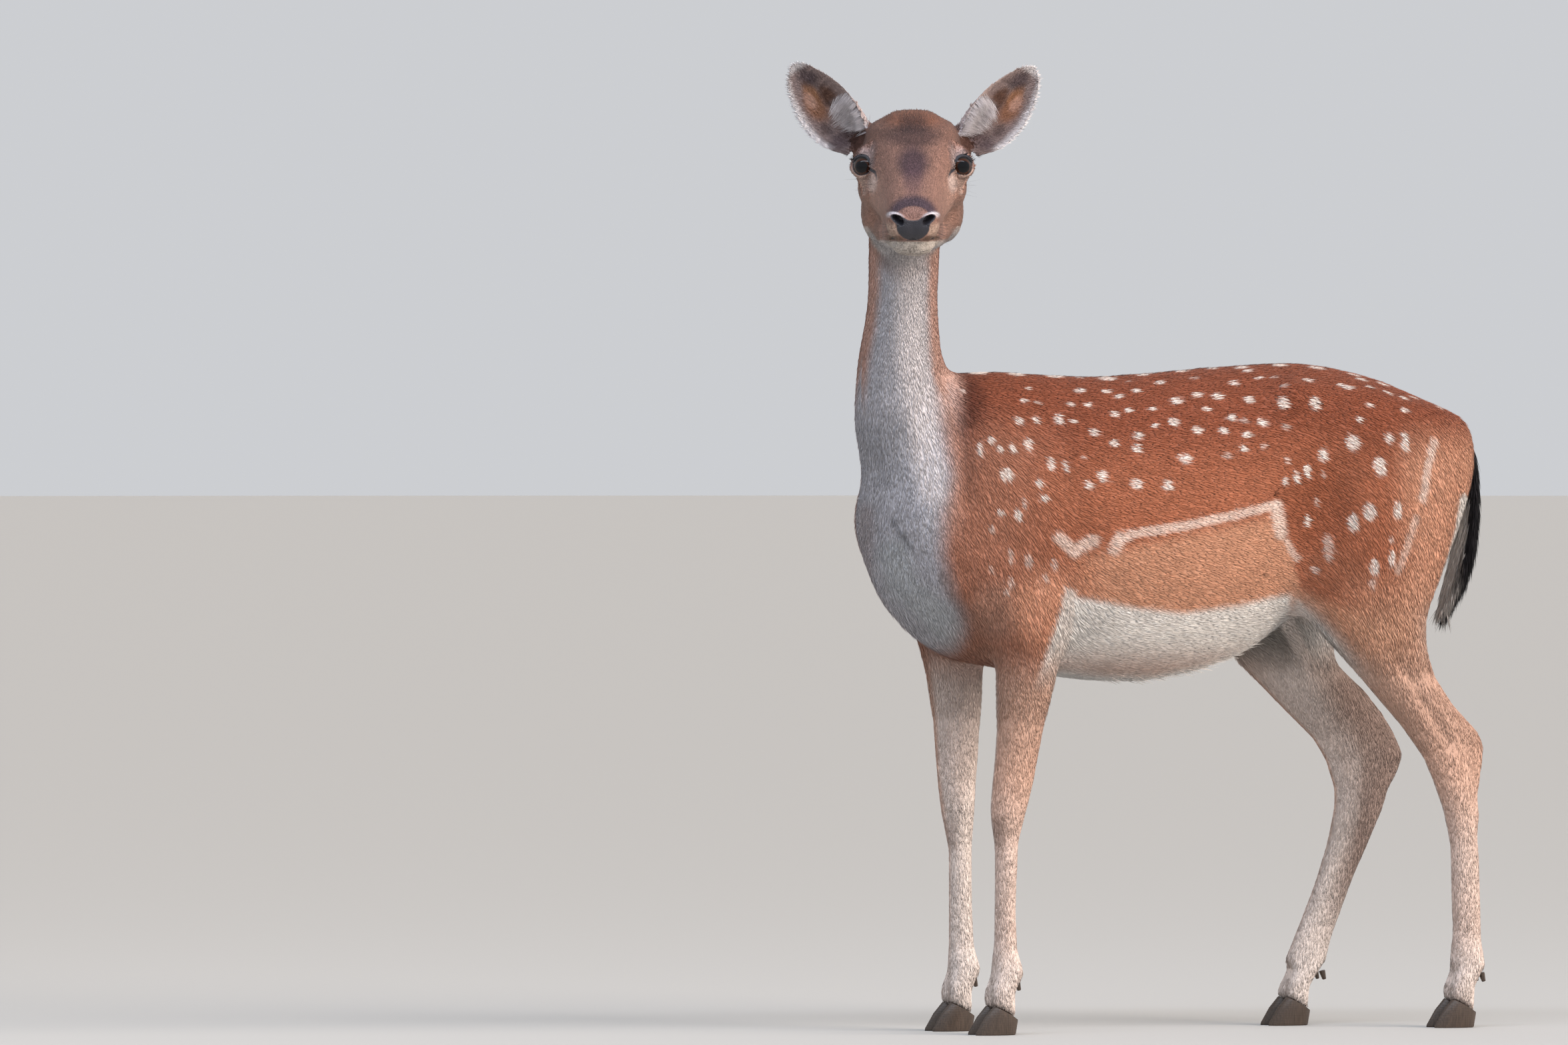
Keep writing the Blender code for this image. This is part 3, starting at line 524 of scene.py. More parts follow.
def sculptEyes(head):
    for side in (-1, 1):
        centre = eyeAxes(side)[0]
        inside, up, along, reach = lidField(head, side)
        near = np.linalg.norm(head - centre, axis=1) < 0.034
        radius = eyeShape["radius"]
        outside = np.maximum(-inside, 0)
        behind = rise(-0.25, -0.80, along)
        lid = (
            radius + eyeShape["lid"] * (0.45 + 0.55 * rise(0, 0.0012, outside))
            + 0.0016 * behind * rise(0, 0.0025, outside)
        )
        lid -= 0.0011 * rise(0.0022, 0.0040, outside) * rise(0.0062, 0.0042, outside) * (up > 0)
        blend = rise(0.0030, 0.0095, outside)
        target = (
            lid * (1 - blend)
            + np.maximum(reach, radius + 0.0012 + 0.0022 * behind * rise(0.020, 0.008, outside)) * blend
        )
        for depth, place in ((0.0010, 0.0050), (0.0008, 0.0085), (0.0006, 0.0118)):  # folds over the lid
            fold = (
                np.exp(-(((outside - place) / 0.0010) ** 2)) * rise(0.05, 0.35, up)
                * rise(0.95, 0.6, np.abs(along))
            )
            target -= depth * fold
        for depth, place in ((0.0007, 0.0052), (0.0005, 0.0085)):  # and under it
            fold = (
                np.exp(-(((outside - place) / 0.0011) ** 2)) * rise(-0.05, -0.35, up)
                * rise(0.95, 0.6, np.abs(along))
            )
            target -= depth * fold
        target = np.where(inside > -0.0001, radius * 0.90, target)
        target = np.where(near, target, reach)
        head[:] = centre + (head - centre) * (target / reach)[:, None]


faceLines = {
    "tear": [(0, 0.0520, -0.0030), (0, 0.0470, -0.0065), (0, 0.0450, -0.0110), (0, 0.0440, -0.0175)],
    "mouth": [
        (0.150, 0.0, -0.0875), (0.140, 0.015, -0.0880), (0.113, 0.025, -0.0870),
        (0.077, 0.033, -0.0875), (0.055, 0.0365, -0.0850)
    ],
    "philtrum": [(0.153, 0.0, -0.074), (0.148, 0.0, -0.0870)],
}
nose = {"nostril": (0.0192, -0.0640), "lean": 38.0, "long": 0.0090, "wide": 0.0048, "depth": 0.011}


def groove(head, normals, path, depth, width):
    for side in (-1, 1):
        flat = path[0][0] == 0  # a path without depth is a line drawn on the face
        gap, along = distanceTo(np.array(path) * (1, side, 1), head * (0, 1, 1) if flat else head)
        gap = gap + 1.0 * (head[:, 0] < 0.02) * flat
        if side == 1 and np.all(np.array(path)[:, 1] == 0):
            continue
        fade = rise(0, 0.06, along) * rise(1.0, 0.8, along) if path[0][1] else rise(1.0, 0.8, along)
        head -= normals * (depth * np.exp(-((gap / width) ** 2)) * fade)[:, None]


def nostrilField(head):  # 0 at a nostril's middle, 1 at its rim
    out, up = np.abs(head[:, 1]) - nose["nostril"][0], head[:, 2] - nose["nostril"][1]
    lean = math.radians(nose["lean"])
    along = out * math.cos(lean) + up * math.sin(lean)
    across = -out * math.sin(lean) + up * math.cos(lean)
    across = across + 12 * along * along - 0.0008  # bent like a comma
    return np.hypot(along / nose["long"], across / nose["wide"])


def sculptNose(head, normals):
    front = rise(0.125, 0.138, head[:, 0])
    rim = nostrilField(head)
    ridge = np.exp(-(((rim - 1.25) / 0.35) ** 2)) * front
    head += normals * (0.0013 * ridge * rise(-0.070, -0.060, head[:, 2]))[:, None]
    hole = rise(1.05, 0.45, rim) * front
    head += np.array([-1.0, 0, 0.25]) * (nose["depth"] * hole)[:, None]
    head[:, 1] -= np.sign(head[:, 1]) * 0.003 * hole
    pad = padShape(head) * (1 - hole)
    swell = (
        np.exp(-(((np.abs(head[:, 1]) - 0.0085) / 0.0075) ** 2))
        * np.exp(-(((head[:, 2] + 0.0755) / 0.009) ** 2))
    )
    head += normals * (pad * (0.0006 + 0.0016 * swell))[:, None]
    fold = np.abs(head[:, 2] + 0.0715 + 0.45 * (np.abs(head[:, 1]) - 0.0195))
    crease = (
        np.exp(-((fold / 0.0009) ** 2)) * rise(0.012, 0.015, np.abs(head[:, 1]))
        * rise(0.025, 0.022, np.abs(head[:, 1]))
    )
    head -= normals * (0.0011 * crease * front)[:, None]


padEdge = {  # the bare nose: half widths by height, and the height of its upper edge by distance out
    "up": [-0.089, -0.088, -0.086, -0.084, -0.080, -0.076, -0.072, -0.068, -0.064, -0.060, -0.057],
    "half": [0.000, 0.006, 0.011, 0.014, 0.018, 0.020, 0.0205, 0.0215, 0.024, 0.0255, 0.0245],
    "out": [0.0, 0.006, 0.010, 0.017, 0.024, 0.030],
    "top": [-0.0640, -0.0635, -0.0610, -0.0575, -0.0565, -0.0585],
}


def padShape(head):  # 1 on the bare nose around and under the nostrils
    out, up = np.abs(head[:, 1]), head[:, 2]
    half = np.interp(up, padEdge["up"], padEdge["half"], left=-0.01)
    top = np.interp(out, padEdge["out"], padEdge["top"])
    return (
        rise(0.0010, -0.0010, out - half) * rise(0.0008, -0.0008, up - top)
        * rise(0.122, 0.130, head[:, 0])
    )


def bareField(head):  # 1 on bare black skin: nose, nostrils, lips' edge, lid rims and tear lines
    bare = np.maximum(padShape(head), rise(1.22, 1.02, nostrilField(head)) * rise(0.128, 0.136, head[:, 0]))
    for side in (-1, 1):
        inside, up, along, _ = lidField(head, side)
        near = np.linalg.norm(head - eyeAxes(side)[0], axis=1) < 0.034
        rim = 0.0006 + 0.0020 * rise(-0.1, 0.3, up) + 0.0010 * rise(0.4, 0.75, along)
        bare = np.maximum(bare, near * rise(rim + 0.0005, rim - 0.0005, -inside))
        gap, share = distanceTo(np.array(faceLines["tear"]) * (1, side, 1), head * (0, 1, 1))
        bare = np.maximum(bare, rise(0.0042, 0.0022, gap + 0.0034 * share) * rise(0.015, 0.02, head[:, 0]))
        gap, share = distanceTo(np.array(faceLines["mouth"]) * (1, side, 1), head)
        bare = np.maximum(bare, 0.95 * rise(0.0026, 0.0013, gap + 0.0014 * share))
    return bare


def refine(piece, near, cuts):  # smaller faces within some spheres: centres on the head, radii
    shape = bmesh.new()
    shape.from_mesh(piece.data)
    shape.edges.ensure_lookup_table()
    places = seenFrom(headPlace, pointsOf(piece.data))
    close = np.zeros(len(places), bool)
    for centre, radius in near:
        close |= np.linalg.norm(places - np.array(centre), axis=1) < radius
    edges = [edge for edge in shape.edges if close[edge.verts[0].index] and close[edge.verts[1].index]]
    bmesh.ops.subdivide_edges(shape, edges=edges, cuts=cuts, use_grid_fill=True)
    bmesh.ops.triangulate(shape, faces=[face for face in shape.faces if len(face.verts) > 3])
    shape.to_mesh(piece.data)
    shape.free()


def shorten(piece, longest):  # shorter edges on the body, so that its spots stay crisp
    for _ in range(2):
        shape = bmesh.new()
        shape.from_mesh(piece.data)
        shape.edges.ensure_lookup_table()
        places = pointsOf(piece.data)
        body = (pastThroat(places) < -0.02) & (places[:, 2] > 0.55)
        edges = [edge for edge in shape.edges if body[edge.verts[0].index] and edge.calc_length() > longest]
        bmesh.ops.subdivide_edges(shape, edges=edges, cuts=1)
        bmesh.ops.triangulate(shape, faces=[face for face in shape.faces if len(face.verts) > 3])
        shape.to_mesh(piece.data)
        shape.free()


hollows = [  # across and up along each, half width, depth in millimetres
    ([(-0.050, 0.828), (-0.038, 0.79), (-0.030, 0.75), (-0.024, 0.70), (-0.020, 0.66)], 0.010, 3.5),
    ([(0.395, 0.550), (0.430, 0.610), (0.445, 0.690), (0.440, 0.740)], 0.030, 5.0),
    ([(0.140, 0.575), (0.105, 0.660), (0.090, 0.740), (0.085, 0.780)], 0.022, 3.0),
    ([(-0.020, 0.575), (0.020, 0.520), (0.045, 0.470)], 0.016, 2.5),
    ([(0.560, 0.700), (0.545, 0.620), (0.530, 0.540)], 0.022, 2.0),
    ([(0.520, 0.470), (0.555, 0.410), (0.590, 0.355)], 0.009, 3.0),
    ([(0.050, 0.700), (0.040, 0.640)], 0.030, -3.0),
    ([(0.085, 0.545), (0.070, 0.500)], 0.018, -3.0),
    ([(0.490, 0.660), (0.500, 0.600)], 0.040, -3.0),
]


def sculptBody(places, normals):
    chart = chartOf(seenFrom(bodyPlace, places))
    toward = rise(0.1, 0.4, normals[:, 0] * -0.375 + np.abs(normals[:, 1]) * 0.927)
    for path, half, depth in hollows:
        gap, _ = distanceTo([(a, 0, b) for a, b in path], chart)
        places -= normals * (depth / 1000 * np.exp(-((gap / half) ** 2)) * toward)[:, None]


def trimEars(places, parts):  # closes each ear's inner edge a little
    for node in ("ear_left", "ear_right"):
        here = parts == node
        inward = earForm(node)[3]
        share, across = earPlace(places[here], node)
        shift = 0.003 * rise(0.35, 1.0, across) * rise(0.0, 0.25, share) * rise(1.0, 0.75, share)
        places[here] -= inward * (shift * drawnMetre)[:, None]
        earForm(node, places[here])


def makeSkin():
    piece = wholeSkin()
    shorten(piece, 0.012)
    eyes = [(eyeAxes(side)[0], 0.026) for side in (-1, 1)]
    refine(piece, eyes, 2)
    refine(
        piece,
        [((0.140, 0, -0.075), 0.036), ((0.10, 0.028, -0.090), 0.016), ((0.10, -0.028, -0.090), 0.016)], 1
    )
    places, normals = pointsOf(piece.data), normalsOf(piece.data)
    parts = partsOf(places)
    depth = hairField(places, parts)[2]
    head = seenFrom(headPlace, places)
    bare = bareField(head)
    places -= normals * (depth * (1 - bare))[:, None]
    fleshy = pastThroat(places) < -0.05
    flesh = places[fleshy]
    sculptBody(flesh, normals[fleshy])
    places[fleshy] = flesh
    onHead = (pastThroat(places) > -0.01) & ~np.char.startswith(parts, "ear")
    local = seenFrom(headPlace, places[onHead])
    across = seenFrom(Matrix(headPlace.to_3x3().normalized().to_4x4()), normals[onHead])
    groove(local, across, faceLines["tear"], 0.0020, 0.0018)
    groove(local, across, faceLines["mouth"], 0.0030, 0.0014)
    groove(local, across, faceLines["philtrum"], 0.0010, 0.0010)
    sculptNose(local, across)
    sculptEyes(local)
    shoulder = np.exp(-(((np.abs(local[:, 1]) - 0.037) / 0.012) ** 2)) * rise(0.045, 0.060, local[:, 2])
    local[:, 2] -= 0.004 * shoulder * rise(0.09, 0.05, local[:, 0])
    local[:, 2] += 0.004 * rise(-0.089, -0.106, local[:, 2]) * rise(0.03, 0.07, local[:, 0])
    turn = np.array(headPlace)
    places[onHead] = local @ turn[:3, :3].T + turn[:3, 3]
    trimEars(places, parts)
    movePoints(piece.data, places)
    print("skin sculpted", len(piece.data.polygons), "faces")
    return piece


# the coat's colours, the same on the skin and on the tufts
streaks = [  # pale lines of the coat: across and up along each, half width, strength
    (
        [(0.167, 0.614), (0.185, 0.625), (0.220, 0.630), (0.262, 0.637), (0.320, 0.649), (0.367, 0.660)],
        0.0062, 0.85
    ),
    ([(0.163, 0.606), (0.169, 0.620)], 0.0085, 0.8),
    ([(0.366, 0.658), (0.370, 0.642), (0.373, 0.624)], 0.0085, 0.9),
    ([(0.381, 0.613), (0.386, 0.602), (0.393, 0.593)], 0.0050, 0.7),
    ([(0.094, 0.621), (0.103, 0.613), (0.113, 0.603), (0.125, 0.612), (0.138, 0.617)], 0.0082, 0.85),
    ([(0.568, 0.738), (0.562, 0.718), (0.557, 0.692), (0.553, 0.665)], 0.0055, 0.85),
    ([(0.545, 0.642), (0.538, 0.622), (0.531, 0.600), (0.521, 0.576)], 0.0050, 0.55),
]
# Spots of the coat, measured in millimetres: across, up, half length, half height.
clearSpots = [
    (-24, 803, 6, 3), (56, 804, 4, 3), (120, 804, 8, 3), (50, 790, 5, 4), (106, 786, 6, 4),
    (131, 788, 7, 4), (154, 801, 7, 3), (168, 796, 7, 4), (192, 804, 7, 4), (222, 812, 8, 3),
    (42, 763, 8, 6), (67, 767, 5, 5), (94, 766, 7, 8), (115, 767, 6, 3), (164, 773, 7, 5),
    (181, 778, 7, 3), (214, 778, 6, 3), (239, 789, 9, 6), (270, 795, 8, 5), (292, 795, 8, 6),
    (314, 813, 8, 5), (280, 779, 7, 4), (137, 750, 7, 6), (214, 757, 6, 3), (239, 764, 8, 6),
    (266, 752, 8, 6), (301, 755, 7, 5), (313, 769, 6, 5), (-3, 731, 5, 9), (7, 744, 5, 6),
    (17, 731, 5, 5), (32, 734, 5, 7), (56, 735, 7, 9), (163, 738, 7, 5), (195, 746, 7, 6),
    (191, 733, 7, 6), (85, 713, 6, 10), (104, 711, 5, 7), (252, 721, 11, 7), (27, 697, 10, 9),
    (73, 685, 6, 6), (132, 686, 6, 7), (150, 695, 8, 8), (187, 684, 10, 7), (229, 684, 8, 7),
    (24, 652, 5, 5), (46, 646, 6, 8), (77, 668, 6, 5), (333, 825, 8, 3), (348, 819, 6, 3),
    (409, 814, 9, 5), (448, 808, 6, 4), (462, 807, 8, 5), (485, 806, 6, 4), (511, 796, 7, 6),
    (530, 792, 6, 6), (485, 788, 6, 3), (529, 779, 6, 4), (333, 792, 8, 6), (377, 783, 8, 9),
    (419, 783, 9, 9), (349, 761, 8, 6), (475, 764, 5, 5), (332, 748, 8, 4), (327, 729, 6, 5),
    (466, 735, 10, 11), (510, 744, 7, 7), (528, 736, 7, 13), (430, 722, 8, 9), (406, 706, 6, 11),
    (391, 693, 5, 8), (376, 689, 4, 6), (500, 709, 10, 12), (483, 652, 10, 11), (519, 650, 7, 12),
    (464, 635, 8, 12), (407, 637, 5, 8), (511, 590, 6, 10), (489, 584, 8, 11),
]
faintSpots = [
    (67, 790, 5, 3), (184, 813, 5, 2), (262, 817, 7, 3), (124, 720, 4, 2), (302, 722, 6, 5),
    (50, 663, 4, 8), (8, 636, 5, 5), (368, 818, 7, 3), (379, 810, 6, 3), (325, 767, 6, 4),
    (380, 759, 7, 5), (353, 735, 5, 5), (425, 699, 4, 5), (380, 716, 5, 5), (420, 659, 4, 6),
    (433, 608, 8, 18), (512, 617, 4, 5), (489, 560, 6, 6), (417, 580, 6, 5), (34, 595, 5, 10),
    (56, 591, 7, 9), (86, 587, 5, 8), (70, 570, 5, 4), (25, 560, 5, 6), (38, 562, 5, 7),
    (8, 580, 3, 7),
]
spineSpots = [
    (-8, 828, 15, 4), (38, 826, 14, 3), (88, 822, 14, 3), (120, 822, 7, 3), (157, 822, 15, 3),
    (203, 826, 10, 3), (251, 829, 10, 3), (286, 831, 9, 3), (325, 832, 12, 3), (376, 833, 12, 3),
    (422, 834, 13, 3), (469, 822, 11, 3), (476, 816, 10, 4), (503, 810, 10, 5), (546, 796, 9, 5),
    (573, 782, 6, 3),
]
spots = []  # middle, half sizes along and around the body, strength


def placeSpots(points, normals):  # each spot finds the skin, on both sides
    body = seenFrom(bodyPlace, points)
    chart = chartOf(body)
    luck = np.random.default_rng(5)
    toward = normals[:, 0] * -0.375 + np.abs(normals[:, 1]) * 0.927
    for side in (-1, 1):
        here = np.flatnonzero((body[:, 1] * side > 0) & (toward > 0.12) & (pastThroat(points) < -0.1))
        for rows, strength in ((clearSpots, 0.92), (faintSpots, 0.45), (spineSpots, 0.85)):
            for across, up, long, high in rows:
                wander = luck.normal(0, 0.006, 2) if side > 0 else np.zeros(2)
                target = np.array((across / 1000 + wander[0], 0, up / 1000 + wander[1]))
                found = here[np.linalg.norm(chart[here] - target, axis=1).argmin()]
                around = max(high, 0.55 * long) / 1000
                spots.append((body[found], long / 1000, around, strength))


def spotField(body):
    field = np.zeros(len(body))
    for middle, long, around, strength in spots:
        way = body - middle
        near = np.flatnonzero(np.abs(way[:, 0]) < 2 * long)
        gap = np.hypot(way[near, 0] / (0.85 * long), np.hypot(way[near, 1], way[near, 2]) / around)
        field[near] = np.maximum(field[near], strength * rise(1.20, 0.75, gap))
    return field


stifle = [  # the pale front edge of the thigh: across, up
    (0.39, 0.534), (0.41, 0.508), (0.43, 0.476), (0.455, 0.447), (0.495, 0.398), (0.535, 0.348),
    (0.565, 0.315)
]
neckEdge = [  # where the grey of the neck ends: up, across
    (0.46, 0.020), (0.50, 0.000), (0.55, -0.037), (0.60, -0.050), (0.65, -0.048), (0.70, -0.039),
    (0.75, -0.049), (0.80, -0.059)
]


def mottle(points, size):  # soft patches about a size across, from -1 to 1
    total = np.zeros(len(points))
    for way in ((1.0, 0.3, 0.2), (-0.4, 1.0, 0.5), (0.3, -0.6, 1.0), (0.8, 0.7, -0.6)):
        total += np.sin(
            points @ np.array(way) * 2 * math.pi / size
            + 2 * np.sin(points @ np.array(way)[::-1] * 4 / size)
        )
    return total / 4


def bodyColours(points, normals, clear):
    body = seenFrom(bodyPlace, points)
    x, y, z = body.T
    chart = chartOf(body)
    across = chart[:, 0]
    under = backHeight(x) - z
    hind = rise(0.42, 0.50, across)
    base = np.tile(linear("#B67254"), (len(points), 1))
    base = painted(base, "#8C4B33", rise(0.16, 0.05, under) * 0.8)
    base = painted(base, "#B07C66", rise(0.13, 0.0, across) * rise(0.80, 0.72, z) * 0.75)
    lightFrom = np.interp(across, [0.0, 0.16, 0.37, 0.40, 0.50], [0.60, 0.612, 0.655, 0.56, 0.52])
    base = painted(base, "#D39C7E", rise(-0.004, 0.020, lightFrom - z) * rise(0.08, 0.17, across))
    base = painted(base, "#E0A789", hind * rise(0.50, 0.555, across) * rise(0.78, 0.70, z) * 0.9)
    base = painted(base, "#8B4B30", blob(chart, (0.42, 0, 0.66), (0.07, 1, 0.09)) * 0.6)
    base = painted(base, "#8A5A44", blob(chart, (0.44, 0, 0.575), (0.06, 1, 0.045)) * 0.35)
    base = painted(base, "#D8A78B", hind * rise(0.60, 0.50, z) * 0.85)
    base = painted(base, "#BD9380", blob(chart, (0.015, 0, 0.53), (0.045, 1, 0.05)) * 0.6)
    base = painted(base, "#DDA183", blob(chart, (0.08, 0, 0.53), (0.065, 1, 0.07)) * 0.9)
    base = painted(base, "#5A2F22", blob(chart, (-0.03, 0, 0.79), (0.045, 1, 0.06)) * 0.75)
    for path, half, strength in streaks:
        gap, _ = distanceTo([(a, 0, b) for a, b in path], chart)
        base = painted(base, "#EBD3C6", rise(1.3, 0.55, gap / half) * strength * (np.abs(y) > 0.04))
    stripe = (
        rise(0.0085 + 0.014 * rise(0.52, 0.64, x), 0.003, np.abs(y)) * rise(-0.06, -0.03, x)
        * rise(0.66, 0.75, z)
    )
    base = painted(base, "#2E2022", stripe * rise(0.0, 0.3, normals[:, 2] + normals[:, 0]) * 0.85)
    base = painted(base, "#F1E7E0", spotField(body) * clear)
    belly = (
        rise(-0.003, 0.010, bellyEdge(across) - z) * rise(0.098, 0.108, across + 0.35 * (0.55 - z))
        * rise(0.394, 0.380, across)
    )
    groin = rise(0.105, 0.075, np.abs(y)) * rise(0.30, 0.40, x) * rise(0.56, 0.50, z) * rise(0.60, 0.50, x)
    base = painted(base, "#EFEAE5", np.maximum(belly, groin))
    # painted shade: a dark olive shadow deep in the groin, on the skin that faces inward
    groinShade = (
        blob(body * (1, 0, 1), (0.40, 0, 0.485), (0.085, 1, 0.075))
        * rise(0.25, -0.15, normals[:, 1] * np.sign(y))
    )
    base = painted(base, "#5E564B", groinShade * 0.8)
    # painted shade on the inner, rear-facing side of the hind legs
    back = (
        hind * rise(0.10, -0.2, normals[:, 1] * np.sign(y)) * rise(-0.5, 0.3, normals[:, 0])
        * rise(0.06, 0.22, z) * rise(0.50, 0.42, z)
    )
    edge, _ = distanceTo([(a, 0, b) for a, b in stifle], chart)
    base = painted(base, "#E8DCD4", rise(0.013, 0.006, edge) * 0.85 * rise(0.385, 0.40, across))
    rearEdge, _ = distanceTo(
        [
            (0.107, 0, 0.55), (0.104, 0, 0.51), (0.095, 0, 0.48), (0.085, 0, 0.45), (0.076, 0, 0.36),
            (0.07, 0, 0.25)
        ],
        chart
    )
    base = painted(base, "#EDE2DA", rise(0.011, 0.005, rearEdge) * 0.9 * (np.abs(y) > 0.03))
    leg = rise(0.50, 0.42, z)
    base = painted(base, "#D0A893", leg * rise(0.02, 0.06, np.abs(y)))
    base = painted(base, "#D9C3B7", rise(0.34, 0.20, z) * 0.85)
    inner = rise(0.15, -0.45, normals[:, 1] * np.sign(y)) * leg
    base = painted(base, "#DDD3CC", inner * 0.7)
    # the painted shade on the hind legs' inner, rear side
    base = painted(base, "#83695E", back * 0.8)
    base = painted(base, "#DDD0C8", rise(0.14, 0.06, z) * 0.7)
    base = painted(
        base, "#8F7468",
        blob(body * (1, 0, 1), (0.0, 0, 0.245), (0.05, 1, 0.035)) * rise(-0.2, -0.8, normals[:, 0]) * 0.4
    )
    gap, _ = distanceTo([(0.607, 0, 0.665), (0.601, 0, 0.625), (0.589, 0, 0.585), (0.576, 0, 0.545)], chart)
    behind = (
        rise(0.35, 0.6, normals[:, 0] - 0.35 * np.abs(normals[:, 1])) * rise(0.058, 0.048, np.abs(y))
        * rise(0.50, 0.54, x)
    )
    rump = np.maximum(rise(0.0085, 0.0045, gap) * rise(0.52, 0.54, across), behind)
    base = painted(base, "#F0E8E1", rump * rise(0.705, 0.675, z) * rise(0.49, 0.54, z))
    return frontColours(normals, body, base)


def frontColours(normals, body, base):  # the grey throat, foreneck and chest
    x, y, z = body.T
    view = np.stack([0.927 * x - 0.375 * y, np.zeros(len(x)), z], axis=1)
    facing = normals @ turned(headPlace, np.array([1.0, 0, 0]))
    high = rise(0.76, 0.84, z)
    edge = np.interp(z, *zip(*neckEdge))
    chest = rise(0.016, -0.020, view[:, 0] - edge) * rise(0.07, 0.045, y) * rise(-0.25, 0.1, facing)
    throat = rise(0.42, 0.80, facing + 0.35 * rise(0.90, 0.80, z) * (y > -0.02))
    grey = (
        (chest * (1 - high) + throat * high * rise(-0.020, -0.045, view[:, 0]))
        * rise(0.01, -0.035, x + 0.045 * rise(0.90, 0.84, z)) * rise(0.40, 0.44, z)
    )
    edging = (
        rise(-0.015, -0.04, view[:, 0]) * rise(-0.02, -0.05, x) * rise(0.60, 0.66, z)
        * rise(-0.2, 0.3, facing)
    )
    base = painted(base, "#DDB4A4", edging * (0.4 + 0.5 * rise(0.74, 0.82, z)))
    base = painted(base, "#C8C6CC", grey)
    for path, half, tint, strength in (
        # partly the neck's whiter front, partly a painted highlight along its lit ridge
        (
            [
                (-0.090, 0.95), (-0.091, 0.90), (-0.089, 0.84), (-0.079, 0.79), (-0.072, 0.73),
                (-0.062, 0.68)
            ],
            0.030, "#EAE3E4", 0.9
        ),
        # painted shade: a dark grey patch low on the front of the neck
        ([(-0.120, 0.710), (-0.123, 0.745)], 0.045, "#7C7F84", 0.25),
        ([(-0.146, 0.652), (-0.148, 0.562), (-0.125, 0.523), (-0.091, 0.485)], 0.016, "#9A7465", 0.25),
        ([(-0.112, 0.600), (-0.100, 0.562), (-0.060, 0.525), (-0.011, 0.475)], 0.030, "#C6C9CC", 0.8),
        ([(-0.111, 0.642), (-0.091, 0.609)], 0.006, "#55585E", 0.4),
        ([(-0.044, 0.572), (-0.021, 0.530), (0.008, 0.481)], 0.016, "#83695E", 0.5),
    ):
        gap, _ = distanceTo([(a, 0, b) for a, b in path], view)
        base = painted(base, tint, rise(1.0, 0.25, gap / half) * strength * grey)
    return base


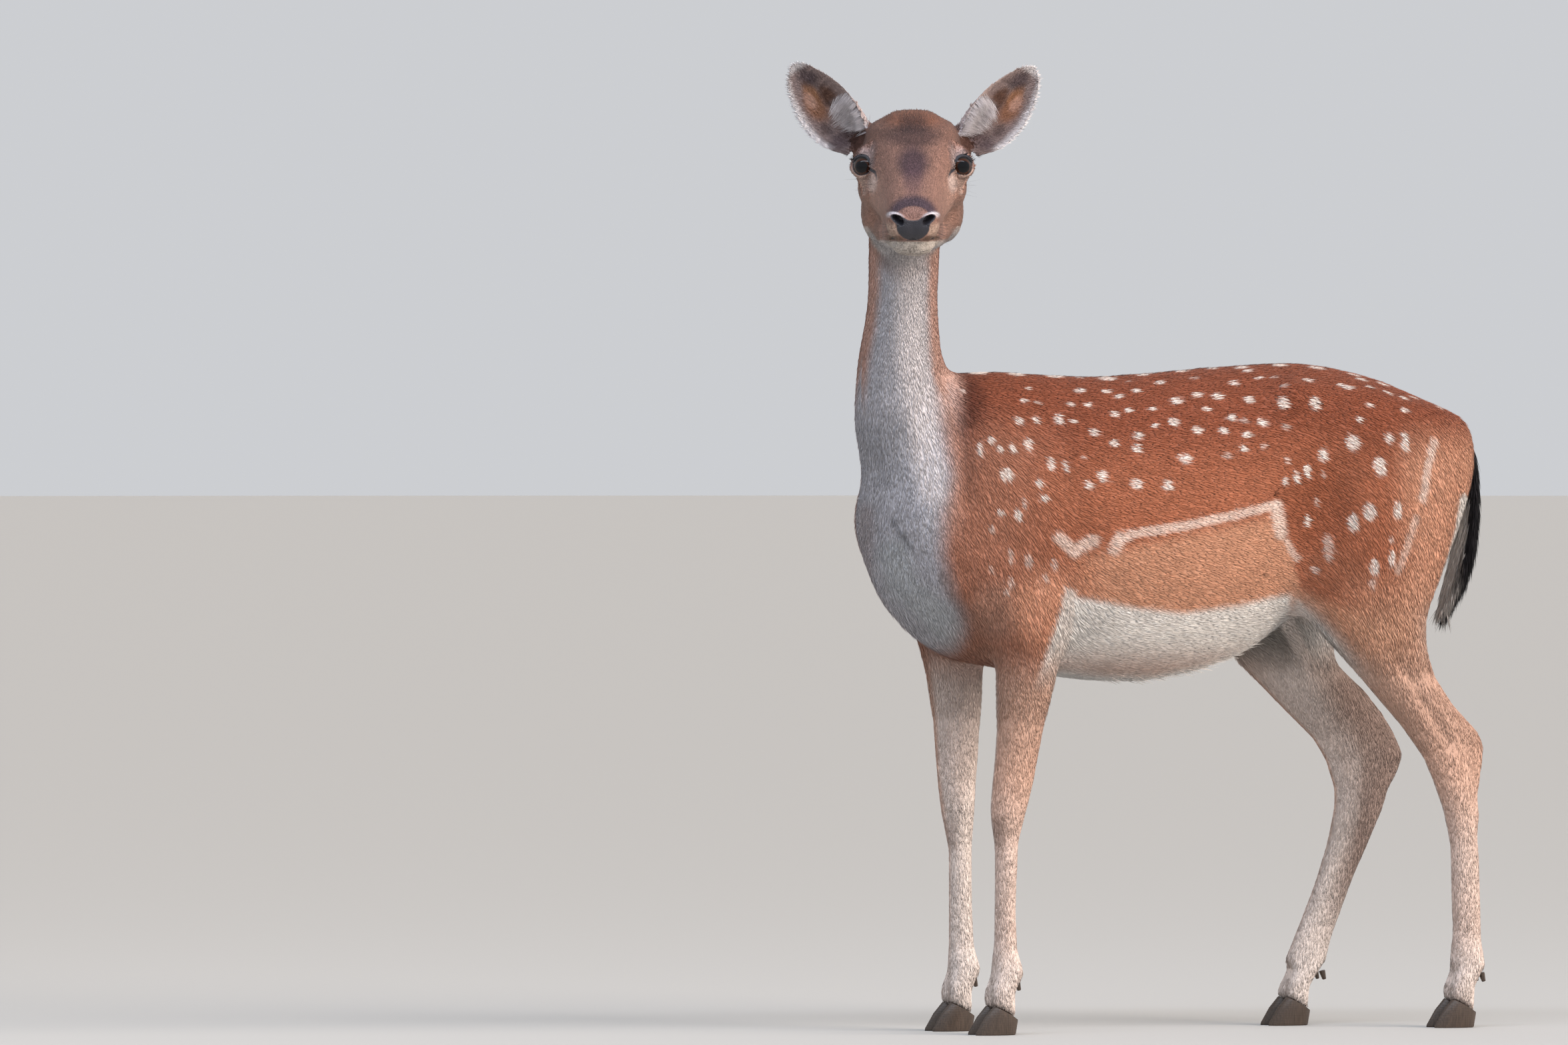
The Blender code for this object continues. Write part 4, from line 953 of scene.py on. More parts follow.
def headColours(points, normals):
    head = seenFrom(headPlace, points)
    ahead, out, up = head[:, 0], np.abs(head[:, 1]), head[:, 2]
    flat = head * (0, 1, 1)
    base = np.tile(linear("#8C695C"), (len(points), 1))
    base = painted(base, "#B58D7C", rise(0.028, 0.050, out) * rise(0.01, -0.03, up) * 0.7)
    base = painted(base, "#A86A4C", blob(head, (-0.01, 0, 0.062), (0.06, 0.075, 0.022)) * 0.6)
    base = painted(
        base, "#45302F", blob(flat, (0, 0, 0.038), (1, 0.050, 0.020)) * rise(-0.03, 0.0, ahead) * 0.8
    )
    base = painted(
        base, "#45302F", blob(flat, (0, 0, 0.055), (1, 0.024, 0.022)) * rise(-0.03, 0.0, ahead) * 0.65
    )
    base = painted(
        base, "#3B2B35", blob(flat, (0, 0, 0.006), (1, 0.028, 0.029)) * rise(0.03, 0.05, ahead) * 0.85
    )
    base = painted(
        base, "#594048", blob(flat, (0, 0, -0.012), (1, 0.018, 0.032)) * rise(0.03, 0.05, ahead) * 0.5
    )
    base = painted(
        base, "#5C413A", rise(0.050, 0.068, out) * rise(0.012, 0.026, up) * rise(0.03, 0.0, ahead) * 0.9
    )
    for side in (-1, 1):
        inside, high, along, _ = lidField(head, side)
        away = np.linalg.norm(head - eyeAxes(side)[0], axis=1)
        gap = np.where(away < 0.036, -inside, 1.0) + 0.012 * rise(0.35, 1.0, np.abs(along))
        base = painted(
            base, "#CBB3AD",
            rise(0.0135, 0.0060, gap) * rise(0.0, 0.3, high) * rise(0.034, 0.022, away) * 0.85
        )
        # painted shade: dark lines in the folds over the upper lid
        for crease in (0.0048, 0.0082, 0.0116):
            base = painted(
                base, "#7A625F", np.exp(-(((gap - crease) / 0.0009) ** 2)) * rise(0.0, 0.3, high) * 0.5
            )
        base = painted(base, "#D8BDB0", rise(0.0090, 0.0050, gap) * rise(0.1, -0.3, high) * 0.6)
        base = painted(
            base, "#D6BEB4", blob(head, (0.038, side * 0.054, -0.020), (0.032, 0.020, 0.017)) * 0.8
        )
        base = painted(
            base, "#E9E1DB", blob(head, (-0.014, side * 0.068, -0.002), (0.022, 0.018, 0.016)) * 0.85
        )
        for path, half, strength in (
            ([(0, 0.0575, -0.079), (0, 0.0475, -0.096), (0, 0.0325, -0.108)], 0.0045, 0.8),
            ([(0, 0.0380, -0.094), (0, 0.0240, -0.106)], 0.0040, 0.7),
        ):
            gap, _ = distanceTo(np.array(path) * (1, side, 1), flat)
            base = painted(base, "#DDD3CC", rise(1.3, 0.5, gap / half) * strength)
        base = painted(
            base, "#B9A08F",
            blob(flat, (0, side * 0.028, -0.077), (1, 0.016, 0.014)) * rise(0.10, 0.12, ahead) * 0.7
        )
        base = painted(
            base, "#6B5546",
            blob(flat, (0, side * 0.024, -0.0865), (1, 0.020, 0.0045)) * rise(0.08, 0.10, ahead) * 0.75
        )
    outer = np.hypot(head[:, 1] / 0.0300, (up + 0.060) / 0.0260)
    inner = np.hypot(head[:, 1] / 0.0195, (up + 0.060) / 0.0130)
    front = rise(0.112, 0.126, ahead)
    base = painted(
        base, "#40333E",
        rise(1.22, 0.84, outer) * rise(0.85, 1.15, inner) * rise(-0.062, -0.056, up) * front * 0.92
    )
    base = painted(base, "#8E6C62", rise(1.1, 0.9, inner) * rise(-0.066, -0.060, up) * front)
    rim = nostrilField(head)
    pale = (
        rise(1.12, 1.25, rim) * rise(1.90, 1.50, rim) * rise(-0.063, -0.055, up) * rise(0.006, 0.012, out)
        * front
    )
    base = painted(base, "#CFC6CA", pale * 0.9)
    chin = rise(-0.0890, -0.0915, up) * rise(0.045, 0.06, ahead) * rise(0.040, 0.030, out)
    base = painted(base, "#BCB3A9", chin * 0.9)
    throat = (
        rise(0.3, 0.7, turned(headPlace, np.array([0.45, 0, -0.9])) @ normals.T)
        * rise(0.085, 0.05, ahead)
    )
    base = painted(base, "#B5B1B1", throat * rise(-0.07, -0.09, up) * 0.85)
    return base


def earColours(points, normals, node):
    face = earForm(node)[2]
    share, across = earPlace(points, node)
    chart = np.stack([share, np.zeros(len(share)), across], axis=1)
    inner = rise(0.0, 0.3, normals @ face)
    base = np.tile(linear("#8A6F62"), (len(points), 1))
    base = painted(base, "#5A4742", rise(0.5, 0.95, share) * 0.6)
    base = painted(base, "#4A3A36", rise(0.16, 0.05, share) * 0.7)
    inside = np.tile(linear("#A08C88"), (len(points), 1))
    for middle, reach, tint, strength in (
        ((0.53, 0, 0.38), (0.26, 1, 0.25), "#A86F48", 0.75),
        ((0.67, 0, 0.45), (0.18, 1, 0.18), "#B47F58", 0.75),
        # painted highlight inside the ear
        ((0.60, 0, 0.36), (0.13, 1, 0.13), "#DDB09C", 0.8),
        # painted shade in the ear's hollow: this blob and the three below
        ((0.54, 0, 0.68), (0.20, 1, 0.20), "#664434", 0.9),
        ((0.81, 0, 0.60), (0.15, 1, 0.30), "#54454B", 0.75),
        ((0.285, 0, 0.28), (0.10, 1, 0.13), "#57403C", 0.55),
        ((0.10, 0, 0.45), (0.12, 1, 0.60), "#6A585C", 0.7),
    ):
        inside = painted(inside, tint, blob(chart, middle, reach) * strength)
    inside = painted(
        inside, "#DCD4D6",
        rise(0.58, 0.80, across) * rise(0.52, 0.44, share) * rise(0.03, 0.08, share) * 0.9
    )
    base = base + (inside - base) * inner[:, None]
    rim = np.maximum(rise(0.17, 0.05, across), rise(0.90, 0.96, share))
    base = painted(base, "#F2ECEC", rim * 0.95 * rise(0.06, 0.16, share))
    return painted(base, "#C9B4AE", rise(0.90, 0.97, across) * 0.7)


def tailColours(points, normals):
    body = seenFrom(bodyPlace, points)
    base = np.tile(linear("#1D191D"), (len(points), 1))
    base = painted(base, "#EFE8E2", rise(-0.72, -0.93, normals[:, 0]))
    return painted(base, "#E9E2DC", rise(0.59, 0.55, body[:, 2]) * rise(0.3, -0.2, normals[:, 0]) * 0.7)


def coatColours(points, normals, parts, clear=1.0):  # clear: how strongly the spots show
    base = bodyColours(points, normals, clear)
    onHead = rise(-0.035, -0.005, pastThroat(points))
    base += (headColours(points, normals) - base) * onHead[:, None]
    base = (
        base
        * (1 + (0.07 + 0.04 * onHead) * mottle(points, 0.021) + 0.06 * mottle(points, 0.052))[:, None]
    )
    for node in ("ear_left", "ear_right"):
        ear = parts == node
        base[ear] = earColours(points[ear], normals[ear], node)
    tail = parts == "tail"
    base[tail] = tailColours(points[tail], normals[tail])
    return base


# materials
def startMaterial(name, roughness, ior=1.5):
    made = bpy.data.materials.new(name)
    made.use_nodes = True
    shader = made.node_tree.nodes["Principled BSDF"]
    shader.inputs["Roughness"].default_value = roughness
    shader.inputs["IOR"].default_value = ior
    return made, made.node_tree, shader


def hairMaterial():  # deer hair, coarse and hollow: soft sheen, a little darker at the root
    made, tree, shader = startMaterial("summerCoatHair", 0.62, 1.45)
    colour = addNode(tree, "ShaderNodeAttribute", {"attribute_name": "coatColour"})
    tree.links.new(colour.outputs["Color"], shader.inputs["Base Color"])
    shape = addNode(tree, "ShaderNodeNewGeometry")
    under = addNode(tree, "ShaderNodeAttribute", {"attribute_name": "skinNormal"})
    agree = addNode(
        tree, "ShaderNodeVectorMath", {"operation": "DOT_PRODUCT"},
        {0: shape.outputs["True Normal"], 1: under.outputs["Vector"]}
    )
    share = addNode(
        tree, "ShaderNodeMapRange", {}, {"Value": agree.outputs["Value"], "From Max": 0.5, "To Max": 0.88}
    )
    blend = addNode(
        tree, "ShaderNodeMix", {"data_type": "VECTOR"},
        {0: share.outputs[0], 4: shape.outputs["Normal"], 5: under.outputs["Vector"]}
    )
    soft = addNode(tree, "ShaderNodeVectorMath", {"operation": "NORMALIZE"}, {0: blend.outputs[1]})
    tree.links.new(soft.outputs[0], shader.inputs["Normal"])
    shader.inputs["Specular IOR Level"].default_value = 0.25
    shader.inputs["Sheen Weight"].default_value = 0.12
    shader.inputs["Sheen Roughness"].default_value = 0.5
    return made


def skinMaterial():  # hide under short hair: the coat's colours, streaked, and black where bare
    made, tree, shader = startMaterial("deerHide", 0.7)
    colour = addNode(tree, "ShaderNodeAttribute", {"attribute_name": "coatColour"})
    bare = addNode(tree, "ShaderNodeAttribute", {"attribute_name": "bare"})
    place = addNode(tree, "ShaderNodeTexCoord")
    # 1.1 mm
    pebbles = addNode(
        tree, "ShaderNodeTexVoronoi", {}, {"Vector": place.outputs["Object"], "Scale": 900.0}
    )
    hairs = addNode(
        tree, "ShaderNodeTexNoise", {}, {"Vector": place.outputs["Object"], "Scale": 700.0, "Detail": 3.0}
    )
    flat = addNode(tree, "ShaderNodeMath", {"operation": "MULTIPLY"}, {0: hairs.outputs["Fac"], 1: 0.2})
    height = addNode(
        tree, "ShaderNodeMix", {"data_type": "FLOAT"},
        {0: bare.outputs["Fac"], 2: flat.outputs[0], 3: pebbles.outputs["Distance"]}
    )
    bump = addNode(
        tree, "ShaderNodeBump", {}, {"Height": height.outputs[0], "Strength": 0.5, "Distance": 0.0008}
    )
    tint = addNode(
        tree, "ShaderNodeMix", {"data_type": "RGBA"},
        {0: bare.outputs["Fac"], 6: colour.outputs["Color"], 7: (*linear("#2A292F"), 1)}
    )
    shade = addNode(
        tree, "ShaderNodeMapRange", {}, {"Value": bare.outputs["Fac"], "To Min": 0.75, "To Max": 0.32}
    )
    tree.links.new(tint.outputs[2], shader.inputs["Base Color"])
    tree.links.new(shade.outputs[0], shader.inputs["Roughness"])
    tree.links.new(bump.outputs[0], shader.inputs["Normal"])
    return made


def eyeMaterial():  # a deer's eye: dark brown iris, level pupil, wet clear cornea over it
    made, tree, shader = startMaterial("wetEye", 0.3, 1.34)
    shader.inputs["Specular IOR Level"].default_value = 0.1
    flat = addNode(tree, "ShaderNodeUVMap", {"uv_map": "gaze"})
    centred = addNode(
        tree, "ShaderNodeVectorMath", {"operation": "SUBTRACT"}, {0: flat.outputs[0], 1: (0.5, 0.5, 0.0)}
    )
    wide = addNode(
        tree, "ShaderNodeVectorMath", {"operation": "MULTIPLY"},
        {0: centred.outputs[0], 1: (1.0, 1.12, 0.0)}
    )
    pupil = addNode(tree, "ShaderNodeVectorMath", {"operation": "LENGTH"}, {0: wide.outputs[0]})
    disc = addNode(tree, "ShaderNodeVectorMath", {"operation": "LENGTH"}, {0: centred.outputs[0]})
    fibres = addNode(
        tree, "ShaderNodeTexNoise", {}, {"Vector": centred.outputs[0], "Scale": 40.0, "Detail": 4.0}
    )
    iris = addNode(tree, "ShaderNodeValToRGB", {}, {0: fibres.outputs["Fac"]})
    iris.color_ramp.elements[0].color = (*linear("#0E0604"), 1)
    iris.color_ramp.elements[1].color = (*linear("#4A2512"), 1)
    inPupil = addNode(
        tree, "ShaderNodeMapRange", {"interpolation_type": "SMOOTHSTEP"},
        {"Value": pupil.outputs["Value"], "From Min": 0.235, "From Max": 0.270}
    )
    inIris = addNode(
        tree, "ShaderNodeMapRange", {"interpolation_type": "SMOOTHSTEP"},
        {"Value": disc.outputs["Value"], "From Min": 0.298, "From Max": 0.322}
    )
    first = addNode(
        tree, "ShaderNodeMix", {"data_type": "RGBA"},
        {0: inPupil.outputs[0], 6: (*linear("#05060A"), 1), 7: iris.outputs[0]}
    )
    last = addNode(
        tree, "ShaderNodeMix", {"data_type": "RGBA"},
        {0: inIris.outputs[0], 6: first.outputs[2], 7: (*linear("#110C0B"), 1)}
    )
    tree.links.new(last.outputs[2], shader.inputs["Base Color"])
    shader.inputs["Coat Weight"].default_value = 0.75
    shader.inputs["Coat Roughness"].default_value = 0.02
    shader.inputs["Coat IOR"].default_value = 1.38
    return made


def hornMaterial():  # hoof horn: dark keratin, ringed around and finely streaked downwards
    made, tree, shader = startMaterial("hoofKeratin", 0.42, 1.54)
    place = addNode(tree, "ShaderNodeTexCoord")
    rings = addNode(
        tree, "ShaderNodeTexWave", {"bands_direction": "Z"},
        {"Vector": place.outputs["Object"], "Scale": 110.0, "Distortion": 5.0, "Detail": 3.0}
    )
    long = addNode(
        tree, "ShaderNodeMapping", {}, {"Vector": place.outputs["Object"], "Scale": (900.0, 900.0, 60.0)}
    )
    streaks = addNode(
        tree, "ShaderNodeTexNoise", {}, {"Vector": long.outputs[0], "Scale": 1.0, "Detail": 3.0}
    )
    tint = addNode(tree, "ShaderNodeValToRGB", {}, {0: streaks.outputs["Fac"]})
    tint.color_ramp.elements[0].color = (*linear("#17130F"), 1)
    tint.color_ramp.elements[1].color = (*linear("#5A4A3E"), 1)
    height = addNode(
        tree, "ShaderNodeMath", {"operation": "MULTIPLY_ADD"},
        {0: rings.outputs["Fac"], 1: 0.35, 2: streaks.outputs["Fac"]}
    )
    bump = addNode(
        tree, "ShaderNodeBump", {}, {"Height": height.outputs[0], "Strength": 0.35, "Distance": 0.0005}
    )
    tree.links.new(tint.outputs[0], shader.inputs["Base Color"])
    tree.links.new(bump.outputs[0], shader.inputs["Normal"])
    return made


# tufts
def lockMesh(shape, name):  # faces turned out, and a map that places the lock on its patch
    bmesh.ops.recalc_face_normals(shape, faces=shape.faces)
    layer = shape.loops.layers.uv.new("tuftMap")
    for face in shape.faces:
        face.smooth = True
        for loop in face.loops:
            loop[layer].uv = (loop.vert.co.x, loop.vert.co.y - 0.5)
    mesh = bpy.data.meshes.new(name)
    shape.to_mesh(mesh)
    shape.free()
    return mesh


def tuftMesh():  # a thin four-sided lock: root under the skin, widest a third of the way, then a fine tip
    shape = bmesh.new()
    corners = ((0, -0.08, -0.25), (-0.5, 0.36, 0.16), (0.5, 0.36, 0.16), (0, 1.0, -0.10))
    root, left, right, tip = [shape.verts.new(corner) for corner in corners]
    for corners in ((root, right, left), (tip, left, right), (root, left, tip), (root, tip, right)):
        shape.faces.new(corners)
    return lockMesh(shape, "tuft")


def longHairMesh(rings=3, droop=0.35):  # one lock of long hair, three-sided, bending down to a fine tip
    shape = bmesh.new()
    loops = []
    for i in range(rings):
        share = i / rings
        girth = 0.5 * (1 - share) ** 0.7 + 0.06
        centre = Vector((0, share, -droop * share * share))
        loops.append([
            shape.verts.new(centre + Vector((girth * math.cos(a), 0, girth * math.sin(a))))
            for a in (0.5, 2.6, 4.7)
        ])
    tip = shape.verts.new((0, 1, -droop))
    for low, high in zip(loops[:-1], loops[1:]):
        for i in range(3):
            shape.faces.new((low[i], low[(i + 1) % 3], high[(i + 1) % 3], high[i]))
    for i in range(3):
        shape.faces.new((loops[-1][i], loops[-1][(i + 1) % 3], tip))
    shape.faces.new(loops[0][::-1])
    bmesh.ops.triangulate(shape, faces=shape.faces)
    return lockMesh(shape, "longHair")


def named(tree, name, kind="FLOAT"):
    node = addNode(tree, "GeometryNodeInputNamedAttribute", {"data_type": kind}, {"Name": name})
    return [socket for socket in node.outputs if socket.enabled][0]


def coatTree():  # scatters tufts over a surface along its "lie", sized by its own fields
    tree = bpy.data.node_groups.new("growCoat", "GeometryNodeTree")
    face = tree.interface
    face.new_socket("Geometry", in_out="INPUT", socket_type="NodeSocketGeometry")
    for name, kind in (
        ("Tuft", "Object"), ("Finish", "Material"), ("Where", "String"), ("Way", "String"),
        ("Seed", "Int")
    ):
        face.new_socket(name, in_out="INPUT", socket_type="NodeSocket" + kind)
    for name in ("Longer", "Wider", "Lift", "Scatter", "Patch"):
        face.new_socket(name, in_out="INPUT", socket_type="NodeSocketFloat")
    face.new_socket("Geometry", in_out="OUTPUT", socket_type="NodeSocketGeometry")
    given = addNode(tree, "NodeGroupInput").outputs
    density = named(tree, given["Where"])
    spread = addNode(
        tree, "GeometryNodeDistributePointsOnFaces", {},
        {"Mesh": given["Geometry"], "Density": density, "Seed": given["Seed"]}
    )
    points = addNode(
        tree, "GeometryNodeStoreNamedAttribute", {"data_type": "FLOAT_VECTOR", "domain": "POINT"},
        {
            "Geometry": spread.outputs["Points"], "Name": "skinNormal", "Value": spread.outputs["Normal"]
        }
    )
    where = addNode(tree, "GeometryNodeInputPosition")
    points = addNode(
        tree, "GeometryNodeStoreNamedAttribute", {"data_type": "FLOAT_VECTOR", "domain": "POINT"},
        {"Geometry": points.outputs[0], "Name": "rootPlace", "Value": where.outputs[0]}
    )
    normal = named(tree, "skinNormal", "FLOAT_VECTOR")
    raised = addNode(
        tree, "ShaderNodeVectorMath", {"operation": "SCALE"}, {0: normal, "Scale": given["Lift"]}
    )
    stray = addNode(
        tree, "FunctionNodeRandomValue", {"data_type": "FLOAT_VECTOR"},
        {0: (-1, -1, -1), 1: (1, 1, 1), "Seed": 3}
    )
    loose = addNode(
        tree, "ShaderNodeVectorMath", {"operation": "SCALE"},
        {0: stray.outputs[0], "Scale": given["Scatter"]}
    )
    lie = named(tree, given["Way"], "FLOAT_VECTOR")
    way = addNode(tree, "ShaderNodeVectorMath", {"operation": "ADD"}, {0: lie, 1: raised.outputs[0]})
    way = addNode(
        tree, "ShaderNodeVectorMath", {"operation": "ADD"}, {0: way.outputs[0], 1: loose.outputs[0]}
    )
    laid = addNode(tree, "FunctionNodeAlignRotationToVector", {"axis": "Y"}, {"Vector": way.outputs[0]})
    laid = addNode(
        tree, "FunctionNodeAlignRotationToVector", {"axis": "Z", "pivot_axis": "Y"},
        {"Rotation": laid.outputs[0], "Vector": normal}
    )
    sizes = []
    for i, (field, factor) in enumerate((("hairWidth", "Wider"), ("hairLength", "Longer"))):
        vary = addNode(
            tree, "FunctionNodeRandomValue", {"data_type": "FLOAT"}, {2: 0.72, 3: 1.25, "Seed": 11 + i}
        )
        size = addNode(
            tree, "ShaderNodeMath", {"operation": "MULTIPLY"}, {0: named(tree, field), 1: given[factor]}
        )
        sizes.append(
            addNode(
                tree, "ShaderNodeMath", {"operation": "MULTIPLY"},
                {0: size.outputs[0], 1: vary.outputs[1]}
            ).outputs[0]
        )
    scale = addNode(tree, "ShaderNodeCombineXYZ", {}, {"X": sizes[0], "Y": sizes[1], "Z": sizes[0]})
    tuft = addNode(tree, "GeometryNodeObjectInfo", {}, {"Object": given["Tuft"]})
    tufts = addNode(
        tree, "GeometryNodeInstanceOnPoints", {},
        {
            "Points": points.outputs[0], "Instance": tuft.outputs["Geometry"],
            "Rotation": laid.outputs[0], "Scale": scale.outputs[0]
        }
    )
    real = addNode(tree, "GeometryNodeRealizeInstances", {}, {"Geometry": tufts.outputs[0]})
    patch = addNode(
        tree, "ShaderNodeVectorMath", {"operation": "SCALE"},
        {0: named(tree, "tuftMap", "FLOAT_VECTOR"), "Scale": given["Patch"]}
    )
    spot = addNode(
        tree, "ShaderNodeVectorMath", {"operation": "ADD"},
        {0: named(tree, "skinMap", "FLOAT_VECTOR"), 1: patch.outputs[0]}
    )
    mapped = addNode(
        tree, "GeometryNodeStoreNamedAttribute", {"data_type": "FLOAT2", "domain": "CORNER"},
        {"Geometry": real.outputs[0], "Name": "OFBake", "Value": spot.outputs[0]}
    )
    finish = addNode(
        tree, "GeometryNodeSetMaterial", {}, {"Geometry": mapped.outputs[0], "Material": given["Finish"]}
    )
    tree.links.new(finish.outputs[0], addNode(tree, "NodeGroupOutput").inputs[0])
    return tree


coat = {"Lift": 0.16, "Scatter": 0.09, "Patch": 0.003, "tipLight": 1.08, "rootDark": 0.80, "Way": "lie"}


def dropFields(mesh, starts):  # fields that only the growing needed
    for spare in [field.name for field in mesh.attributes if field.name.startswith(starts)]:
        mesh.attributes.remove(mesh.attributes[spare])


def growCoat(
    name, surface, tree, where, tuft, finish, seed, parts=None, ticked=0.10, vary=0.08, tint=None,
    **changes
):
    piece = newPiece(name, surface.data)
    grow = piece.modifiers.new("growCoat", "NODES")
    grow.node_group = tree
    values = {"Tuft": tuft, "Finish": finish, "Where": where, "Seed": seed, "Longer": 1.0, "Wider": 1.0}
    values.update({key: coat[key] for key in ("Lift", "Scatter", "Patch", "Way")})
    values.update(changes)
    for item in tree.interface.items_tree:
        if item.in_out == "INPUT" and item.name in values:
            grow[item.identifier] = values[item.name]
    settled(piece)
    mesh = piece.data
    each = len(tuft.data.vertices)
    roots = read(mesh.attributes["rootPlace"].data, "vector", 3)[::each]
    normals = read(mesh.attributes["skinNormal"].data, "vector", 3)[::each]
    parts = np.full(len(roots), parts or "trunk", dtype="U24")
    middles = roots
    if parts[0] == "trunk":  # a lock shows most around its middle
        lie = read(mesh.attributes["lie"].data, "vector", 3)[::each]
        long = read(mesh.attributes["hairLength"].data, "value", 1)[::each]
        middles = roots + lie * 0.45 * long.reshape(-1, 1)
    colours = coatColours(middles, normals, parts)
    luck = np.random.default_rng(seed + 100)
    if tint:
        colours = np.tile(linear(tint), (len(roots), 1))
    shade = 1 + luck.normal(0, vary, len(roots))
    shade *= np.where(luck.random(len(roots)) < ticked, 0.76, 1.0)
    colours = colours * np.clip(shade, 0.45, 1.5)[:, None]
    along = pointsOf(tuft.data)[:, 1]
    pale = rise(0.25, 0.60, colours.mean(axis=1))[:, None]
    root = coat["rootDark"] + (0.95 - coat["rootDark"]) * pale
    fade = root + (coat["tipLight"] - root) * np.clip(along, 0, 1)[None, :]
    full = (colours[:, None, :] * fade[:, :, None]).reshape(-1, 3)
    full = np.concatenate([np.clip(full, 0, 1), np.ones((len(full), 1))], axis=1)
    write(mesh, "coatColour", "FLOAT_COLOR", full)
    dropFields(mesh, ("rootPlace", "hair", "lie", "lash", "tuftMap", "skinMap", "bare", "grow"))
    print(name, len(roots), "tufts", len(mesh.polygons), "faces")
    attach(piece, "root")
    return piece


# eyes
def makeEye(side, node, finish):
    centre = eyeAxes(side)[0]
    gaze = Vector(eyeShape["gaze"])
    gaze = Vector((gaze.x, gaze.y * side, gaze.z)).normalized()
    shape = bmesh.new()
    bmesh.ops.create_uvsphere(shape, u_segments=56, v_segments=40, radius=eyeShape["radius"])
    turn = gaze.to_track_quat("Z", "Y").to_matrix().to_4x4()
    level = turn.to_3x3().inverted() @ Vector((0, 0, 1))
    level = Vector((level.x, level.y, 0)).normalized()
    layer = shape.loops.layers.uv.new("gaze")
    for point in shape.verts:
        facing = point.co.z / eyeShape["radius"]
        point.co *= 1 + 0.055 * float(rise(0.72, 0.97, facing))  # the cornea's bulge
    for face in shape.faces:
        face.smooth = True
        for loop in face.loops:
            place = loop.vert.co / eyeShape["radius"]
            up = place.x * level.x + place.y * level.y
            across = place.x * level.y - place.y * level.x
            front = 1.0 if place.z > 0 else 3.0
            loop[layer].uv = (0.5 + 0.5 * across * front, 0.5 + 0.5 * up * front)
    shape.transform(headPlace @ Matrix.Translation(Vector(centre)) @ turn)
    mesh = bpy.data.meshes.new("globe_" + node)
    shape.to_mesh(mesh)
    shape.free()
    mesh.materials.append(finish)
    piece = newPiece("globe_" + node, mesh)
    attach(piece, "root")
    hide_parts(node)
    return piece


def makeClaw(node, finish):
    piece = joinedCopies("horn_" + node, [node], 0.0)
    mesh = piece.data
    if node.startswith("dewclaw"):  # small and close behind the pastern
        corners = pointsOf(mesh)
        middle = corners.mean(axis=0)
        movePoints(mesh, middle + (corners - middle) * 0.72 + (-0.006, 0, 0))
    for face in mesh.polygons:
        face.use_smooth = False
    bevel = piece.modifiers.new("edge", "BEVEL")
    bevel.width = 0.0009
    bevel.segments = 2
    bevel.limit_method = "ANGLE"
    bevel.angle_limit = math.radians(35)
    settled(piece)
    piece.data.shade_smooth()
    piece.data.set_sharp_from_angle(angle=math.radians(40))
    piece.data.materials.append(finish)
    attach(piece, "root")
    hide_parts(node)
    return piece


# making everything
hair, hide, horn, wet = hairMaterial(), skinMaterial(), hornMaterial(), eyeMaterial()
skinPiece = makeSkin()
mesh = skinPiece.data
places, normals = pointsOf(mesh), normalsOf(mesh)
parts = partsOf(places)
length, width, depth, growth = hairField(places, parts)
bare = bareField(seenFrom(headPlace, places))
bare[np.char.startswith(parts, "ear") | (pastThroat(places) < -0.01)] = 0
growth *= rise(0.5, 0.1, bare)
write(mesh, "lie", "FLOAT_VECTOR", hairLie(places, normals, parts))
write(mesh, "hairLength", "FLOAT", length)
write(mesh, "hairWidth", "FLOAT", width)
write(mesh, "bare", "FLOAT", bare)
body = seenFrom(bodyPlace, places)
placeSpots(places, normals)
# the skin takes the coat's colours, darker under the longer hair: painted shade beneath the coat
tone = np.clip(
    coatColours(places, normals, parts, 0.5) * (0.82 + 0.17 * rise(0.0086, 0.0070, length))[:, None],
    0, 1
)
write(mesh, "coatColour", "FLOAT_COLOR", np.concatenate([tone, np.ones((len(tone), 1))], axis=1))
# where each piece of the plain coat grows
regions = {}
for name in ("ear_left", "ear_right", "tail", "neck"):
    regions[name] = parts == name
aheadOfEars = seenFrom(headPlace, places)[:, 0] > 0.022
regions["face"] = (parts == "head") & aheadOfEars
regions["crown"] = (parts == "head") & ~aheadOfEars
for name in ("fore", "hind"):
    regions[name + "_legs"] = np.char.startswith(parts, name)
for side, word in ((-1, "left"), (1, "right")):
    trunkSide = (parts == "trunk") & (body[:, 1] * side > 0)
    regions["shoulder_" + word] = trunkSide & (body[:, 0] < 0.25)
    regions["flank_" + word] = trunkSide & (body[:, 0] >= 0.25)
for name, here in regions.items():
    write(mesh, "grow_" + name, "FLOAT", growth * here)
# where the longer hair grows, and its way: first the brush in each ear
extra = {
    name: np.zeros(len(places)) for name in ("brush_left", "brush_right", "lashes", "whiskers", "fringe")
}
sweep = np.zeros_like(places)  # the brush is drawn towards one place
brushEnd = (0.29, 0.08)
for word in ("left", "right"):
    node = "ear_" + word
    here = np.flatnonzero(parts == node)
    share, across = earPlace(places[here], node)
    inside = normals[here] @ earForm(node)[2] > 0.15
    extra["brush_" + word][here] = (
        inside * rise(0.62, 0.80, across) * rise(0.52, 0.42, share) * rise(0.03, 0.08, share)
    )
    root, along, face, inward, long, steps, low, high = earForm(node)
    middle = np.interp(brushEnd[0], steps, np.array(low) + brushEnd[1] * (np.array(high) - np.array(low)))
    sweep[here] = unit(root + along * brushEnd[0] * long + inward * middle + face * 0.006 - places[here])
write(mesh, "lieBrush", "FLOAT_VECTOR", sweep)
